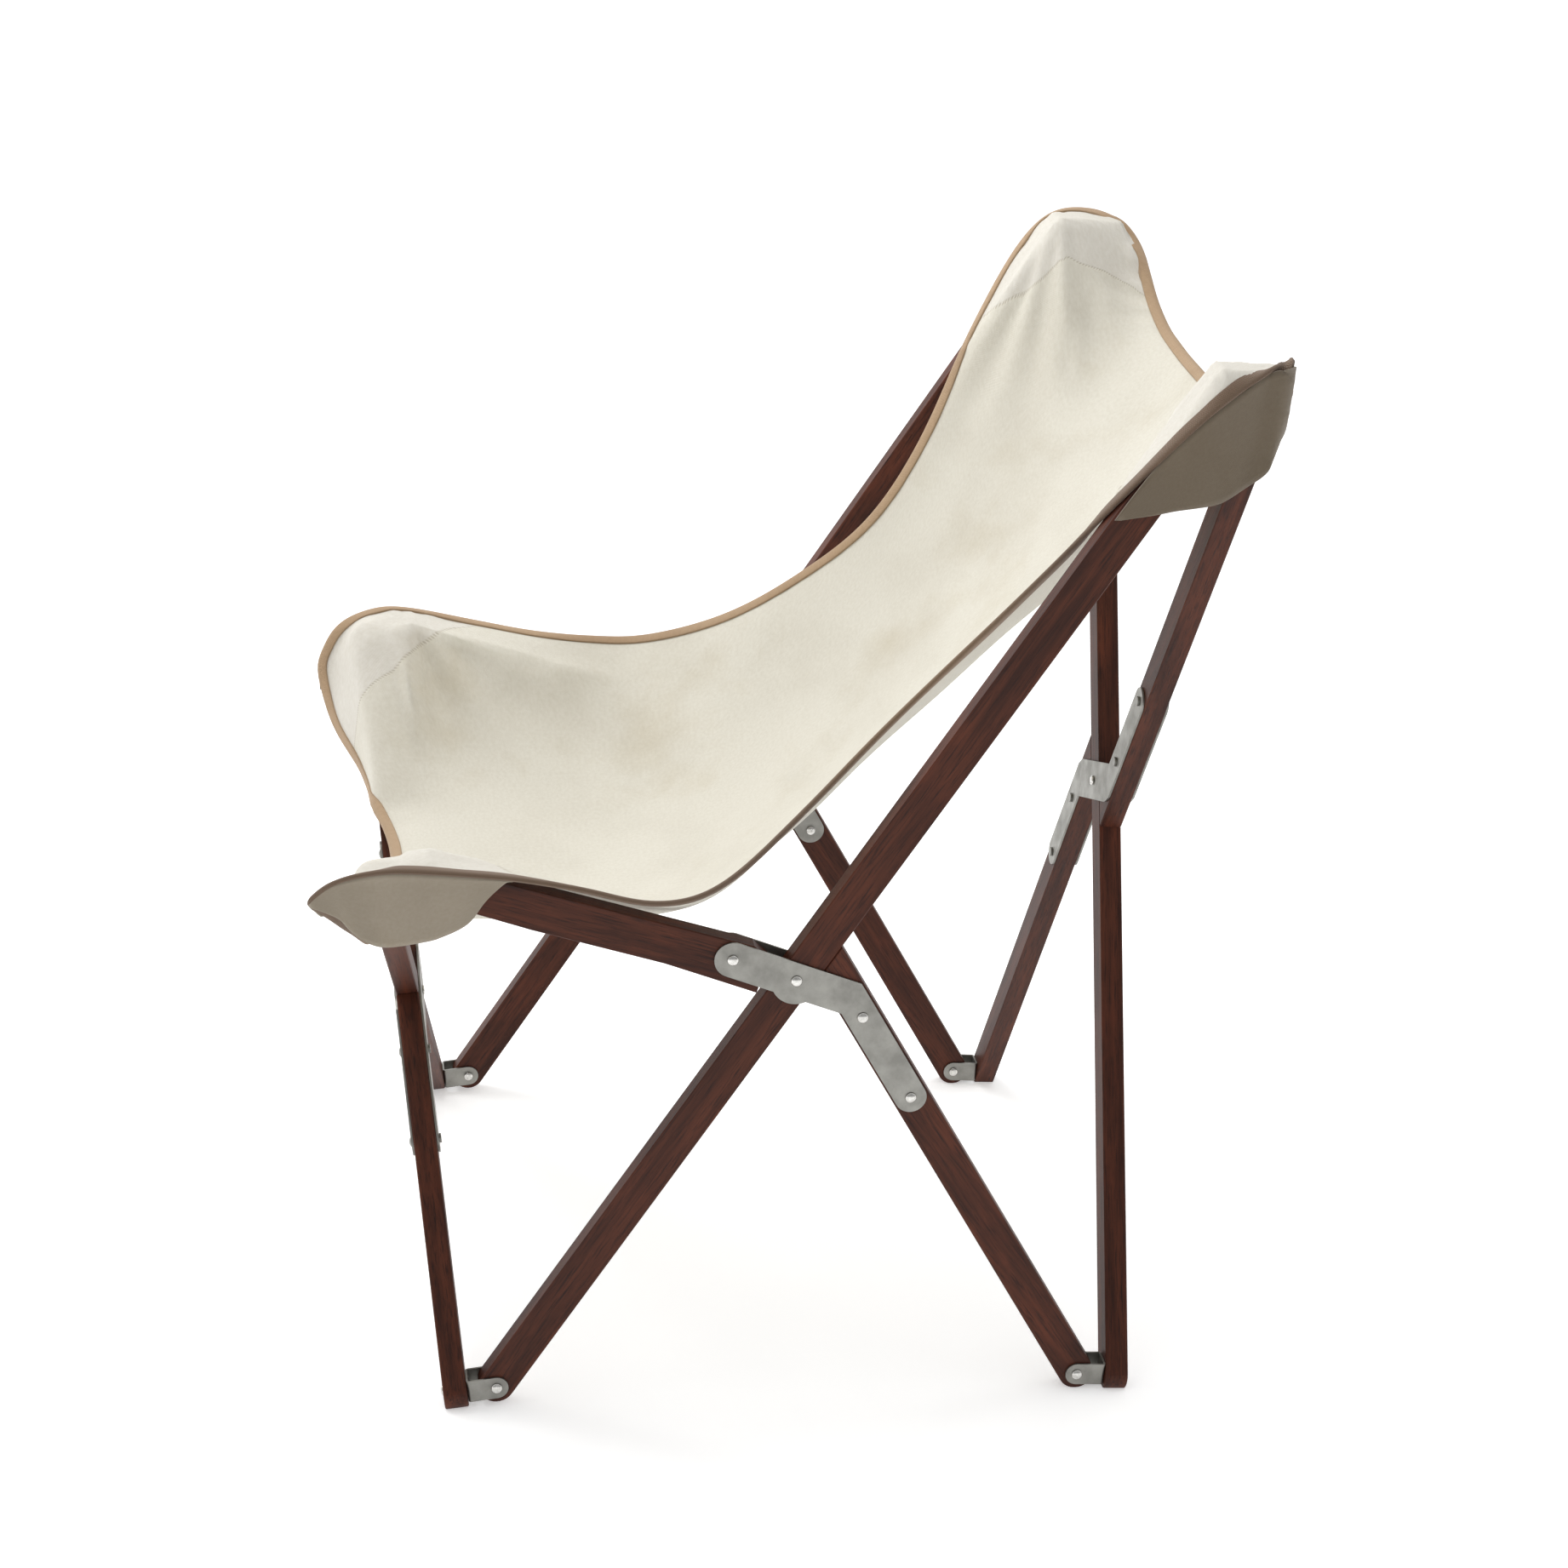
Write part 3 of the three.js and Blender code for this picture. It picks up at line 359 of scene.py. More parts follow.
# %% The finishes used here
STEEL = plated_steel()
RIVET = bright_rivet()
CANVAS = canvas_cloth("canvas", (0.72, 0.69, 0.6, 1), (0.63, 0.595, 0.505, 1),
                      CANVAS_THREADS, CANVAS_RELIEF, seams=True)
# The pockets' canvas is the same cloth painted darker as painted shade; the back pockets' copy
# holds deeper painted shade.
SHADE_PAINTED_POCKET_CANVAS = canvas_cloth("shade_painted_pocket_canvas", (0.34, 0.292, 0.225, 1),
                             (0.265, 0.225, 0.168, 1), CANVAS_THREADS, CANVAS_RELIEF)
SHADED_CANVAS = canvas_cloth("shaded_pocket_canvas", (0.175, 0.138, 0.095, 1),
                             (0.135, 0.105, 0.07, 1), CANVAS_THREADS, CANVAS_RELIEF)
# The binding tape carries painted shade on its near side.
TAPE = canvas_cloth("binding_tape", (0.46, 0.315, 0.19, 1), (0.36, 0.235, 0.135, 1),
                    TAPE_THREADS, TAPE_RELIEF, near_side_shade=(0.17, 0.11, 0.07, 1))
floor_material, floor_tree, floor_shader = finish("studio_white", 0.9)
feed(floor_tree, floor_shader.inputs["Base Color"], (0.9, 0.9, 0.9, 1))
feed(floor_tree, floor_shader.inputs["Emission Color"], WHITE)
feed(floor_tree, floor_shader.inputs["Emission Strength"], 0.4)
studio_floor.data.materials.append(floor_material)
print("finishes:", STEEL.name, RIVET.name, CANVAS.name, TAPE.name)

# %% [markdown]
# ## Dressing the frame
# The sticks, plates and brackets already have their real outlines, so they only get a
# finish. The grain has to follow each stick, so each has its own copy of the wood with
# the direction from one end to the other.

# %% Corners and pivots of the frame, in metres
HALF_WIDTH = 0.33213
FRONT_FOOT, REAR_FOOT = Vector((0, -0.26152, 0.021)), Vector((0, 0.31847, 0.0169))
FRONT_TOP, BACK_TOP = Vector((0, -0.33862, 0.55968)), Vector((0, 0.36722, 1.02781))
PIVOT, ARM_PIVOT = Vector((0, 0.01021, 0.45612)), Vector((0, -0.05086, 0.47811))
ACROSS = Vector((2 * HALF_WIDTH, 0, 0))
REAR_OUT = Vector((0, 0.998839, -0.048169))
FRONT_OUT = Vector((0, -0.989911, -0.141693))


# %% Wood for each stick
def dress(name, material):
    materials = frame["nodes"][name].data.materials
    materials.clear()
    materials.append(material)


GRAIN = {}
for side in ("near", "far"):
    GRAIN[f"{side}_back_stick"] = BACK_TOP - FRONT_FOOT
    GRAIN[f"{side}_leg_stick"] = PIVOT - REAR_FOOT
    GRAIN[f"{side}_seat_arm"] = FRONT_TOP - ARM_PIVOT
for face, up, lean in (("rear", BACK_TOP - REAR_FOOT, -ACROSS),
                       ("front", FRONT_TOP - FRONT_FOOT, ACROSS)):
    GRAIN[f"{face}_long_stick"] = up + lean
    GRAIN[f"{face}_lower_half_stick"] = up - lean
    GRAIN[f"{face}_upper_half_stick"] = up - lean
for name, along in GRAIN.items():
    dress(name, oiled_wood(f"wood_{name}", along))
print("sticks:", len(GRAIN))

# %% Steel for each plate and bracket
steel_parts = [name for name in frame["nodes"] if name.endswith(("plate", "bracket"))]
for name in steel_parts:
    dress(name, STEEL)
print("steel parts:", len(steel_parts))

# %% [markdown]
# ## Rivets
# Each pivot is a solid rivet with a domed head outside and a flat tail inside. A rivet
# is turned work, so its half outline is spun once round its axis. The finer rivet
# takes the place of the plain one, and rides with the same stick.

# %% Spin a rivet
DOME, TAIL, SHANK = 0.0055, 0.005, 0.003
DOME_RISE, TAIL_RISE = 0.003, 0.002
DOME_FOOT, TAIL_BEVEL, DOME_STEPS, SPIN_STEPS = 0.0003, 0.0004, 8, 28


def rivet_outline(length, has_tail):
    rim = length - DOME_RISE
    points = [(0, 0)]
    if has_tail:
        points += [(TAIL * 0.92, 0), (TAIL, TAIL_BEVEL), (TAIL, TAIL_RISE - TAIL_BEVEL)]
        points += [(TAIL * 0.95, TAIL_RISE), (SHANK, TAIL_RISE)]
    else:
        points += [(SHANK, 0)]
    points += [(SHANK, rim - 0.0002), (DOME * 0.97, rim - 0.0002), (DOME, rim + DOME_FOOT)]
    for step in range(1, DOME_STEPS + 1):
        angle = step / DOME_STEPS * math.pi / 2
        rise = (DOME_RISE - DOME_FOOT) * math.sin(angle)
        points.append((DOME * math.cos(angle), rim + DOME_FOOT + rise))
    return points


def spin_rivet(name, start, axis, length, has_tail):
    bm = bmesh.new()
    verts = [bm.verts.new((max(r, 0), 0, s)) for r, s in rivet_outline(length, has_tail)]
    edges = [bm.edges.new(pair) for pair in zip(verts, verts[1:])]
    bmesh.ops.spin(bm, geom=verts + edges, cent=(0, 0, 0), axis=(0, 0, 1), angle=2 * math.pi,
                   steps=SPIN_STEPS, use_merge=True)
    bmesh.ops.remove_doubles(bm, verts=bm.verts, dist=1e-6)
    turn = Vector((0, 0, 1)).rotation_difference(Vector(axis)).to_matrix().to_4x4()
    bmesh.ops.transform(bm, matrix=Matrix.Translation(start) @ turn, verts=bm.verts)
    bmesh.ops.recalc_face_normals(bm, faces=bm.faces)
    mesh = bpy.data.meshes.new(name)
    bm.to_mesh(mesh)
    bm.free()
    mesh.shade_smooth()
    mesh.materials.append(RIVET)
    made = bpy.data.objects.new(name, mesh)
    scene.collection.objects.link(made)
    return made


# %% Put a fine rivet in place of each plain one
BODIES = frame["record"]["behaviour"]["bodies"]
RIDES = {name: body for body, names in BODIES.items() for name in names}
SHORT = 0.02
rivets = [name for name in sorted(frame["nodes"]) if name.endswith("rivet")]
for name in rivets:
    low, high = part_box(name)
    middle, size = (low + high) / 2, high - low
    if size.x > SHORT:
        axis, length = Vector((1 if middle.x > 0 else -1, 0, 0)), size.x
    else:
        axis = REAR_OUT if middle.y > 0 else FRONT_OUT
        length = (size.y - 2 * DOME * abs(axis.z)) / abs(axis.y)
    has_tail = not (name.startswith(("near_front_foot", "far_front")) and size.x < SHORT)
    fine = spin_rivet(f"fine_{name}", middle - axis * length / 2, axis, length, has_tail)
    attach(fine, RIDES[name])
    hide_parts(name)
print("rivets:", len(rivets))

# %% [markdown]
# ## The sling's surface
# The canvas is one shaped sheet. Its side edges swing wide at the four corners and
# narrow at the waist, and its middle sags between them. Two smooth lines, the side
# edge and the middle, carry the whole surface: every point is blended between them.
# Where it crosses the frame, it is lifted to lie over the wood as over a tent's ridge.

# %% Side edges and middle line, from front to back
SHARED_EDGE = [
    (0.372, -0.128, 0.548), (0.352, -0.065, 0.557), (0.292, 0.014, 0.603),
    (0.251, 0.087, 0.664), (0.236, 0.155, 0.730), (0.266, 0.212, 0.809), (0.329, 0.269, 0.910)]
NEAR_EDGE = [
    (0.352, -0.446, 0.540), (0.364, -0.420, 0.567), (0.371, -0.380, 0.580),
    (0.371, -0.338, 0.580), (0.365, -0.261, 0.571), (0.365, -0.196, 0.560)] + SHARED_EDGE + [
    (0.362, 0.324, 0.989), (0.365, 0.360, 1.025), (0.352, 0.400, 1.050), (0.325, 0.417, 1.050)]
FAR_EDGE = [
    (0.352, -0.437, 0.518), (0.363, -0.415, 0.560), (0.370, -0.378, 0.578),
    (0.370, -0.338, 0.581), (0.366, -0.262, 0.568), (0.365, -0.196, 0.556)] + SHARED_EDGE + [
    (0.364, 0.322, 1.000), (0.367, 0.360, 1.042), (0.355, 0.400, 1.051), (0.322, 0.432, 1.046)]
MIDDLE = [
    (0, -0.357, 0.424), (0, -0.323, 0.423), (0, -0.257, 0.424), (0, -0.166, 0.424),
    (0, -0.065, 0.444), (0, 0.049, 0.515), (0, 0.184, 0.652), (0, 0.312, 0.797),
    (0, 0.398, 0.880), (0, 0.455, 0.946)]

# %% Front and back edges, from the far corner to the near one
FRONT_EDGE = [
    (-0.352, -0.437, 0.518), (-0.338, -0.431, 0.487), (-0.30, -0.413, 0.458),
    (-0.245, -0.388, 0.438), (-0.19, -0.378, 0.430), (-0.15, -0.377, 0.430),
    (-0.11, -0.366, 0.427), (-0.06, -0.359, 0.424), (0, -0.357, 0.424), (0.06, -0.359, 0.424),
    (0.11, -0.366, 0.427), (0.15, -0.377, 0.430), (0.19, -0.378, 0.433), (0.245, -0.387, 0.452),
    (0.30, -0.402, 0.490), (0.33, -0.416, 0.512), (0.345, -0.436, 0.525), (0.352, -0.446, 0.540)]
BACK_EDGE = [
    (-0.322, 0.432, 1.045), (-0.30, 0.449, 1.022), (-0.27, 0.450, 1.001), (-0.235, 0.452, 0.977),
    (-0.19, 0.456, 0.957), (-0.12, 0.459, 0.947), (0, 0.455, 0.946), (0.12, 0.457, 0.950),
    (0.19, 0.454, 0.960), (0.235, 0.450, 0.977), (0.27, 0.447, 1.000), (0.30, 0.438, 1.026),
    (0.325, 0.417, 1.050)]


# %% Smooth lines and steps
def smooth_line(points, share):
    """A curve through all the points, at shares of its length counted in points."""
    points = np.array(points)
    points = np.vstack([2 * points[0] - points[1], points, 2 * points[-1] - points[-2]])
    place = np.clip(share, 0, 1) * (len(points) - 3)
    first = np.minimum(place.astype(int), len(points) - 4)
    t = (place - first)[..., None]
    a, b, c, d = (points[first + i] for i in range(4))
    square, cube = 2 * a - 5 * b + 4 * c - d, 3 * b - a - 3 * c + d
    return 0.5 * (2 * b + (c - a) * t + square * t**2 + cube * t**3)


def smooth_step(x):
    x = np.clip(x, 0, 1)
    return x * x * (3 - 2 * x)


def smoothed_loop(values, times):
    for _ in range(times):
        values = (np.roll(values, 1, axis=0) + 2 * values + np.roll(values, -1, axis=0)) / 4
    return values


# %% The frame under the canvas
LIFT, SHOULDER = 0.0045, 0.0195
OUTER_SLOPE, BAR_SLOPE, FRONT_SLOPE, BACK_SLOPE, END_SLOPE = 3.0, 3.0, 0.8, 1.5, 2.2
BAR_HALF, FRONT_HALF, BACK_HALF = 0.0175, 0.0145, 0.015
# The crossed sticks count as short bars, from a little inside each corner to its outside
FRONT_INSIDE, FRONT_OUTSIDE, BACK_INSIDE, BACK_OUTSIDE = 0.006, 0.055, 0.01, 0.06


def ridge(y, start, end, radius):
    """The top of a bar seen from the side, and a slope down past its ends."""
    along = (end - start).normalized()
    lift = Vector((0, -along.z, along.y)) * (radius if along.y > 0 else -radius)
    a, b = start + lift, end + lift
    slope = (b.z - a.z) / (b.y - a.y)
    inside = np.clip(y, min(a.y, b.y), max(a.y, b.y))
    return a.z + (inside - a.y) * slope - END_SLOPE * np.abs(y - inside)


def held_up(x, y):
    """The lowest that the canvas can lie over the frame."""
    beside = np.maximum(0, np.abs(np.abs(x) - HALF_WIDTH) - SHOULDER)
    inner = np.abs(x) < HALF_WIDTH
    front_inner, front_outer = (
        FRONT_TOP - FRONT_OUT * FRONT_INSIDE, FRONT_TOP + FRONT_OUT * FRONT_OUTSIDE)
    back_inner, back_outer = (
        BACK_TOP - REAR_OUT * BACK_INSIDE, BACK_TOP + REAR_OUT * BACK_OUTSIDE)
    bars = [
        (ridge(y, FRONT_TOP, ARM_PIVOT, BAR_HALF), BAR_SLOPE),
        (ridge(y, PIVOT, BACK_TOP, BAR_HALF), BAR_SLOPE),
        (ridge(y, front_inner, front_outer, FRONT_HALF), FRONT_SLOPE),
        (ridge(y, back_inner, back_outer, BACK_HALF), BACK_SLOPE)]
    tops = [top - beside * np.where(inner, slope, OUTER_SLOPE) for top, slope in bars]
    return LIFT + np.maximum.reduce(tops)


# %% The free surface, before the frame lifts it
COLUMNS, ROWS = 120, 170
EDGE_FADE = 0.14
WAIST_POWER, END_POWER = 2.1, 0.9


def edge_line(table, columns):
    """Places along a front or back edge, one for each column, with its corners rounded."""
    table = np.array(table)
    x = np.where(columns < 0, -table[0, 0], table[-1, 0]) * columns
    line = np.stack([x] + [np.interp(x, table[:, 0], table[:, i]) for i in (1, 2)], axis=-1)
    for _ in range(4):
        line[1:-1, 1:] = (line[:-2, 1:] + 2 * line[1:-1, 1:] + line[2:, 1:]) / 4
    return line


def free_surface(u, v):
    side = np.where((u > 0)[..., None], smooth_line(NEAR_EDGE, v), smooth_line(FAR_EDGE, v))
    middle = smooth_line(MIDDLE, v)
    power = WAIST_POWER + END_POWER * (2 * v - 1) ** 2
    share = (np.abs(u) ** power)[..., None]
    point = middle * (1 - share) + side * share
    point[..., 0] = side[..., 0] * u
    front_miss = edge_line(FRONT_EDGE, u[0]) - point[0]
    back_miss = edge_line(BACK_EDGE, u[-1]) - point[-1]
    point += front_miss * (1 - smooth_step(v / EDGE_FADE))[..., None]
    return point + back_miss * smooth_step((v - 1 + EDGE_FADE) / EDGE_FADE)[..., None]


us, vs = np.linspace(-1, 1, COLUMNS + 1), np.linspace(0, 1, ROWS + 1)
u_grid, v_grid = np.meshgrid(us, vs)
free = free_surface(u_grid, v_grid)
print("free sheet:", COLUMNS, "by", ROWS, "cells")


# %% Lift it over the frame, with soft skirts round each ridge
def softened(field):
    padded = np.pad(field, 1, mode="edge")
    down = (padded[:-2] + 2 * padded[1:-1] + padded[2:]) / 4
    return (down[:, :-2] + 2 * down[:, 1:-1] + down[:, 2:]) / 4


SKIRT_PASSES, SOFT_PASSES = 40, 3
SIDE_FADE, BACK_FADE = 0.06, 0.03
needed = np.maximum(0, held_up(free[..., 0], free[..., 1]) - free[..., 2])
lift = needed.copy()
for _ in range(SKIRT_PASSES):
    lift = np.maximum(needed, softened(lift))
for _ in range(SOFT_PASSES):
    lift = softened(lift)
held_edge = smooth_step((1 - np.abs(u_grid)) / SIDE_FADE)
held_edge = held_edge * smooth_step((1 - v_grid) / BACK_FADE)
bare = free.copy()
bare[..., 2] += np.maximum(needed, lift * held_edge)
print("most lift:", round(float(needed.max()), 3), "m")


# %% [markdown]
# The front edge hangs as a lip. Near the corners the canvas runs over the top of the
# crossed front sticks and falls down their faces, so each column of the sheet there is
# laid again along a path: down the front, over the wood, and back into the seat.

# %% Hang the front lip
LIP_ROWS, EDGE_COLUMN_ROW = 26, 8
FRONT_FACE, FRONT_TURN, FRONT_BACK = 0.058, 0.051, 0.030
CROSS_SLOPE, CROSS_RISE, OUTER_FALL = 0.811, 0.0185, 1.1
CREST_RISE, CREST_GAP, FLAT_CREST, LIP_DROP = 0.0145, 0.0015, 0.012, 0.008
CORNER_SHARE, LIP_SIDE, LIP_SIDE_FADE = 0.8, 0.92, 0.08


def front_layer(z, n):
    """How far along Y the front sticks' plane lies at one height, plus a distance outward."""
    return FRONT_FOOT.y + (n - FRONT_OUT.z * (z - FRONT_FOOT.z)) / FRONT_OUT.y


def lip_path(edge, seat, x, by_corner):
    """Places in Y and Z from the front edge over the crossed sticks to the seat."""
    inside = HALF_WIDTH - abs(x)
    if inside > 0:
        top_rise = min(CREST_RISE, CROSS_RISE - CROSS_SLOPE * inside)
    else:
        top_rise = CREST_RISE + OUTER_FALL * inside
    crest = max(FRONT_TOP.z + LIFT + CREST_GAP + top_rise, edge[2] + 0.001)
    path = [(edge[1], edge[2])]
    if crest > edge[2] + FLAT_CREST:
        low = crest - LIP_DROP
        path.append((max(front_layer(low, FRONT_FACE), edge[1]), low))
    path.append((max(front_layer(crest, FRONT_TURN), edge[1] + 0.001), crest))
    start = max(front_layer(crest, FRONT_BACK), path[-1][0] + 0.004)
    for part in np.linspace(0, 1, 9):
        y = start + (seat[1] - start) * part
        z = crest + (seat[2] - crest) * part
        path.append((y, max(z, float(held_up(x, y)) if by_corner else z)))
    return np.array(path)


for column in range(COLUMNS + 1):
    path = lip_path(free[0, column], bare[LIP_ROWS, column], free[EDGE_COLUMN_ROW, column, 0],
                    abs(us[column]) > CORNER_SHARE)
    walked = np.concatenate([[0], np.cumsum(np.linalg.norm(np.diff(path, axis=0), axis=1))])
    laid = np.linspace(0, walked[-1], LIP_ROWS + 1)
    fold = np.stack([np.interp(laid, walked, path[:, i]) for i in (0, 1)], axis=1)
    for _ in range(3):
        fold[1:-1] = (fold[:-2] + 2 * fold[1:-1] + fold[2:]) / 4
    weight = 1 - smooth_step((abs(us[column]) - LIP_SIDE) / LIP_SIDE_FADE)
    lip = bare[: LIP_ROWS + 1, column, 1:]
    bare[: LIP_ROWS + 1, column, 1:] = weight * fold + (1 - weight) * lip
print("lip laid over", LIP_ROWS, "rows")


# %% Round the edge off and draw the sheet taut
def edge_places():
    """Rows and columns of the sheet's edge in one turn."""
    right = [(r, COLUMNS) for r in range(ROWS + 1)]
    back = [(ROWS, c) for c in range(COLUMNS - 1, -1, -1)]
    left = [(r, 0) for r in range(ROWS - 1, -1, -1)]
    front = [(0, c) for c in range(1, COLUMNS)]
    return np.array(right + back + left + front).T


EDGE_PASSES, RING_PASSES, TAUT_PASSES = 7, 9, 24
LIP_END, LIP_FADE = 0.13, 0.06
edge_rows, edge_columns = edge_places()
bare[edge_rows, edge_columns] = smoothed_loop(bare[edge_rows, edge_columns], EDGE_PASSES)
for _ in range(RING_PASSES):
    ring = bare[:-2, 1:-1] + bare[2:, 1:-1] + bare[1:-1, :-2] + bare[1:-1, 2:]
    bare[1:-1, 1:-1] = 0.5 * bare[1:-1, 1:-1] + 0.125 * ring
behind_lip = smooth_step((v_grid - LIP_END) / LIP_FADE)
share = behind_lip[1:-1, 1:-1]
floor_z = np.where(behind_lip > 0, held_up(bare[..., 0], bare[..., 1]), -1)
for _ in range(TAUT_PASSES):
    taut = np.maximum(softened(bare[..., 2]), floor_z)
    bare[1:-1, 1:-1, 2] = share * taut[1:-1, 1:-1] + (1 - share) * bare[1:-1, 1:-1, 2]
print("seat's lowest point:", round(float(bare[..., 2].min()), 3), "m")

# %% [markdown]
# ## Folds and body
# Used canvas isn't smooth. It pulls in fine radiating folds from each corner, ripples
# a little along its tape, and keeps broad shallow hollows where someone has sat. These
# are added along the surface's own normal, and fade out where the cloth lies on wood.

# %% Cloth relief
FOLD_REACH, FOLD_START = 0.13, 0.05
FRONT_FOLDS, BACK_FOLDS = (10, 0.006), (11, 0.009)
HOLLOWS = ((0.1, -0.2, 0.006, 0.12), (-0.13, -0.12, 0.005, 0.1), (-0.1, 0.31, 0.004, 0.08))
DRIFT, RIPPLE, PUCKER, GATHER, FRONT_PUCKER = 0.0016, 0.0009, 0.0009, 0.0045, 0.0012
ON_WOOD, WOOD_FADE, RIM_FADE = 0.15, 0.01, 0.09


def corner_folds(points, corner, count, height, phase):
    away = points - np.array(corner)
    distance = np.linalg.norm(away, axis=-1)
    turn = np.arctan2(away[..., 1], np.abs(away[..., 0]) + 1e-6)
    fade = np.exp(-distance / FOLD_REACH) * (1 - np.exp(-distance / FOLD_START))
    return height * fade * np.sin(count * turn + phase)


def relief(u, v, points):
    """How far the used cloth stands out from the smooth surface."""
    x, y = points[..., 0], points[..., 1]
    total = np.zeros_like(u)
    for sign in (1, -1):
        front = (sign * HALF_WIDTH, FRONT_TOP.y, 0.57)
        back = (sign * HALF_WIDTH, BACK_TOP.y, 1.04)
        for corner, folds, phase in ((front, FRONT_FOLDS, 0.6 + sign),
                                     (back, BACK_FOLDS, 2.0 - sign)):
            total += np.where(sign * u > 0, corner_folds(points, corner, *folds, phase), 0)
    total += DRIFT * np.sin(19 * x + 7 * y + 1.5 * np.sin(9 * y)) * np.sin(8 * y + 2)
    total += RIPPLE * np.sin(47 * y + 9 * x + 2 * np.sin(13 * x))
    for cx, cy, depth, size in HOLLOWS:
        total -= depth * np.exp(-((x - cx) ** 2 + (y - cy) ** 2) / size**2)
    rim = np.minimum(1 - np.abs(u), np.minimum(v * 3, (1 - v) * 3))
    rim_waves = np.sin(160 * v + 60 * u * (1 - np.abs(2 * v - 1)))
    total += PUCKER * np.exp(-rim / 0.04) * rim_waves
    gathered = np.exp(-((np.abs(u) - 0.8) / 0.13) ** 2) * np.exp(-(1 - v) / 0.05)
    total += GATHER * gathered * np.sin(88 * np.abs(u) + 9 * v)
    total += FRONT_PUCKER * np.exp(-v / 0.025) * np.sin(150 * u + 5 * np.sin(9 * u))
    lying = np.clip((points[..., 2] - held_up(x, y)) / WOOD_FADE, ON_WOOD, 1)
    return total * lying * smooth_step(rim / RIM_FADE)


def surface_normals(points):
    across = np.gradient(points, axis=1)
    along = np.gradient(points, axis=0)
    normals = np.cross(across, along)
    return normals / np.maximum(np.linalg.norm(normals, axis=-1, keepdims=True), 1e-9)


sling_points = bare + relief(u_grid, v_grid, bare)[..., None] * surface_normals(bare)
relief_height = np.linalg.norm(sling_points - bare, axis=-1)
print("highest fold:", round(float(relief_height.max()) * 1000, 1), "mm")


# %% Lay a grid on a surface
def laid_grid(name, points, uvs, thickness, material, closed=False, seams=None):
    """One row of vertices for each row of points, with a wall put on as a modifier."""
    rows, columns = points.shape[:2]
    bm = bmesh.new()
    bmesh.ops.create_grid(bm, x_segments=columns - 1, y_segments=rows - 1, size=1)
    bm.verts.ensure_lookup_table()
    order = sorted(range(len(bm.verts)), key=lambda i: (
        round(bm.verts[i].co.y, 5), round(bm.verts[i].co.x, 5)))
    maps = [(bm.loops.layers.uv.new("UVMap"), uvs)]
    if seams is not None:
        maps.append((bm.loops.layers.uv.new("Seams"), seams))
    place_of = {index: divmod(place, columns) for place, index in enumerate(order)}
    for index, place in place_of.items():
        bm.verts[index].co = points[place]
    for face in bm.faces:
        for loop in face.loops:
            for layer, values in maps:
                loop[layer].uv = values[place_of[loop.vert.index]]
    if closed:
        bmesh.ops.remove_doubles(bm, verts=bm.verts, dist=1e-6)
        bmesh.ops.recalc_face_normals(bm, faces=bm.faces)
    mesh = bpy.data.meshes.new(name)
    bm.to_mesh(mesh)
    bm.free()
    mesh.shade_smooth()
    mesh.materials.append(material)
    made = bpy.data.objects.new(name, mesh)
    scene.collection.objects.link(made)
    if thickness:
        wall = made.modifiers.new("thickness", "SOLIDIFY")
        wall.thickness = thickness
        wall.offset = 0
    return made


# %% How far each place lies from the edges
def walked_from_edge(points, axis):
    """Length along the cloth from its first and from its last row or column."""
    gaps = np.linalg.norm(np.diff(points, axis=axis), axis=-1)
    start = np.zeros_like(np.take(gaps, [0], axis=axis))
    run = np.concatenate([start, np.cumsum(gaps, axis=axis)], axis=axis)
    return run, np.take(run, [-1], axis=axis) - run


def rounded_corner(along_side, along_end, side_reach, end_reach):
    """1 on a rounded line across a corner of the sheet, less inside it and more outside."""
    reach = (along_side / side_reach) ** SEAM_POWER + (along_end / end_reach) ** SEAM_POWER
    return reach ** (1 / SEAM_POWER)


FRONT_SEAM, BACK_SEAM, SEAM_POWER = (0.125, 0.215), (0.11, 0.24), 2.2
from_front, from_back = walked_from_edge(bare, 0)
from_side = np.minimum(*walked_from_edge(bare, 1))
front_seam = rounded_corner(from_side, from_front, *FRONT_SEAM)
back_seam = rounded_corner(from_side, from_back, *BACK_SEAM)
seam_turn = np.arctan2(from_side, np.minimum(from_front, from_back) + 1e-6)
seam_uv = np.stack([np.minimum(front_seam, back_seam), seam_turn * 0.2], axis=-1)
print("seams at the corners:", round(float(from_side.max()), 3), "m from side to middle")

# %% Make the canvas
CLOTH_THICKNESS, CANVAS_HALF = 0.0016, 0.36
steps = np.linalg.norm(np.diff(sling_points, axis=0), axis=-1).mean(axis=1)
lengths = np.concatenate([[0], np.cumsum(steps)])
down_uv = np.repeat(lengths[:, None], COLUMNS + 1, axis=1)
sling_uv = np.stack([u_grid * CANVAS_HALF, down_uv], axis=-1)
canvas = laid_grid("draped_canvas", sling_points, sling_uv, CLOTH_THICKNESS, CANVAS,
                   seams=seam_uv)
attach(canvas, "sling")
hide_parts("canvas_sling")
print("canvas along its middle:", round(float(lengths[-1]), 3), "m")

# %% [markdown]
# ## Binding
# A folded tape is sewn round the whole edge. It is a narrow U section carried along
# the edge, thicker than the canvas, with its inner sides lying on both faces.

# %% Directions along, into and off the cloth's edge
rim = sling_points[edge_rows, edge_columns]
inner_rows, inner_columns = np.clip(edge_rows, 2, ROWS - 2), np.clip(edge_columns, 2, COLUMNS - 2)
forward = np.roll(rim, -1, axis=0) - np.roll(rim, 1, axis=0)
forward /= np.linalg.norm(forward, axis=1, keepdims=True)
inward = sling_points[inner_rows, inner_columns] - rim
inward -= (inward * forward).sum(axis=1, keepdims=True) * forward
inward = smoothed_loop(inward / np.linalg.norm(inward, axis=1, keepdims=True), 6)
inward /= np.linalg.norm(inward, axis=1, keepdims=True)
upward = np.cross(inward, forward)
print("places round the edge:", len(rim))

# %% Carry the tape round the edge, its inner sides following the cloth
TAPE_WIDTH, TAPE_HALF = 0.0105, 0.0027
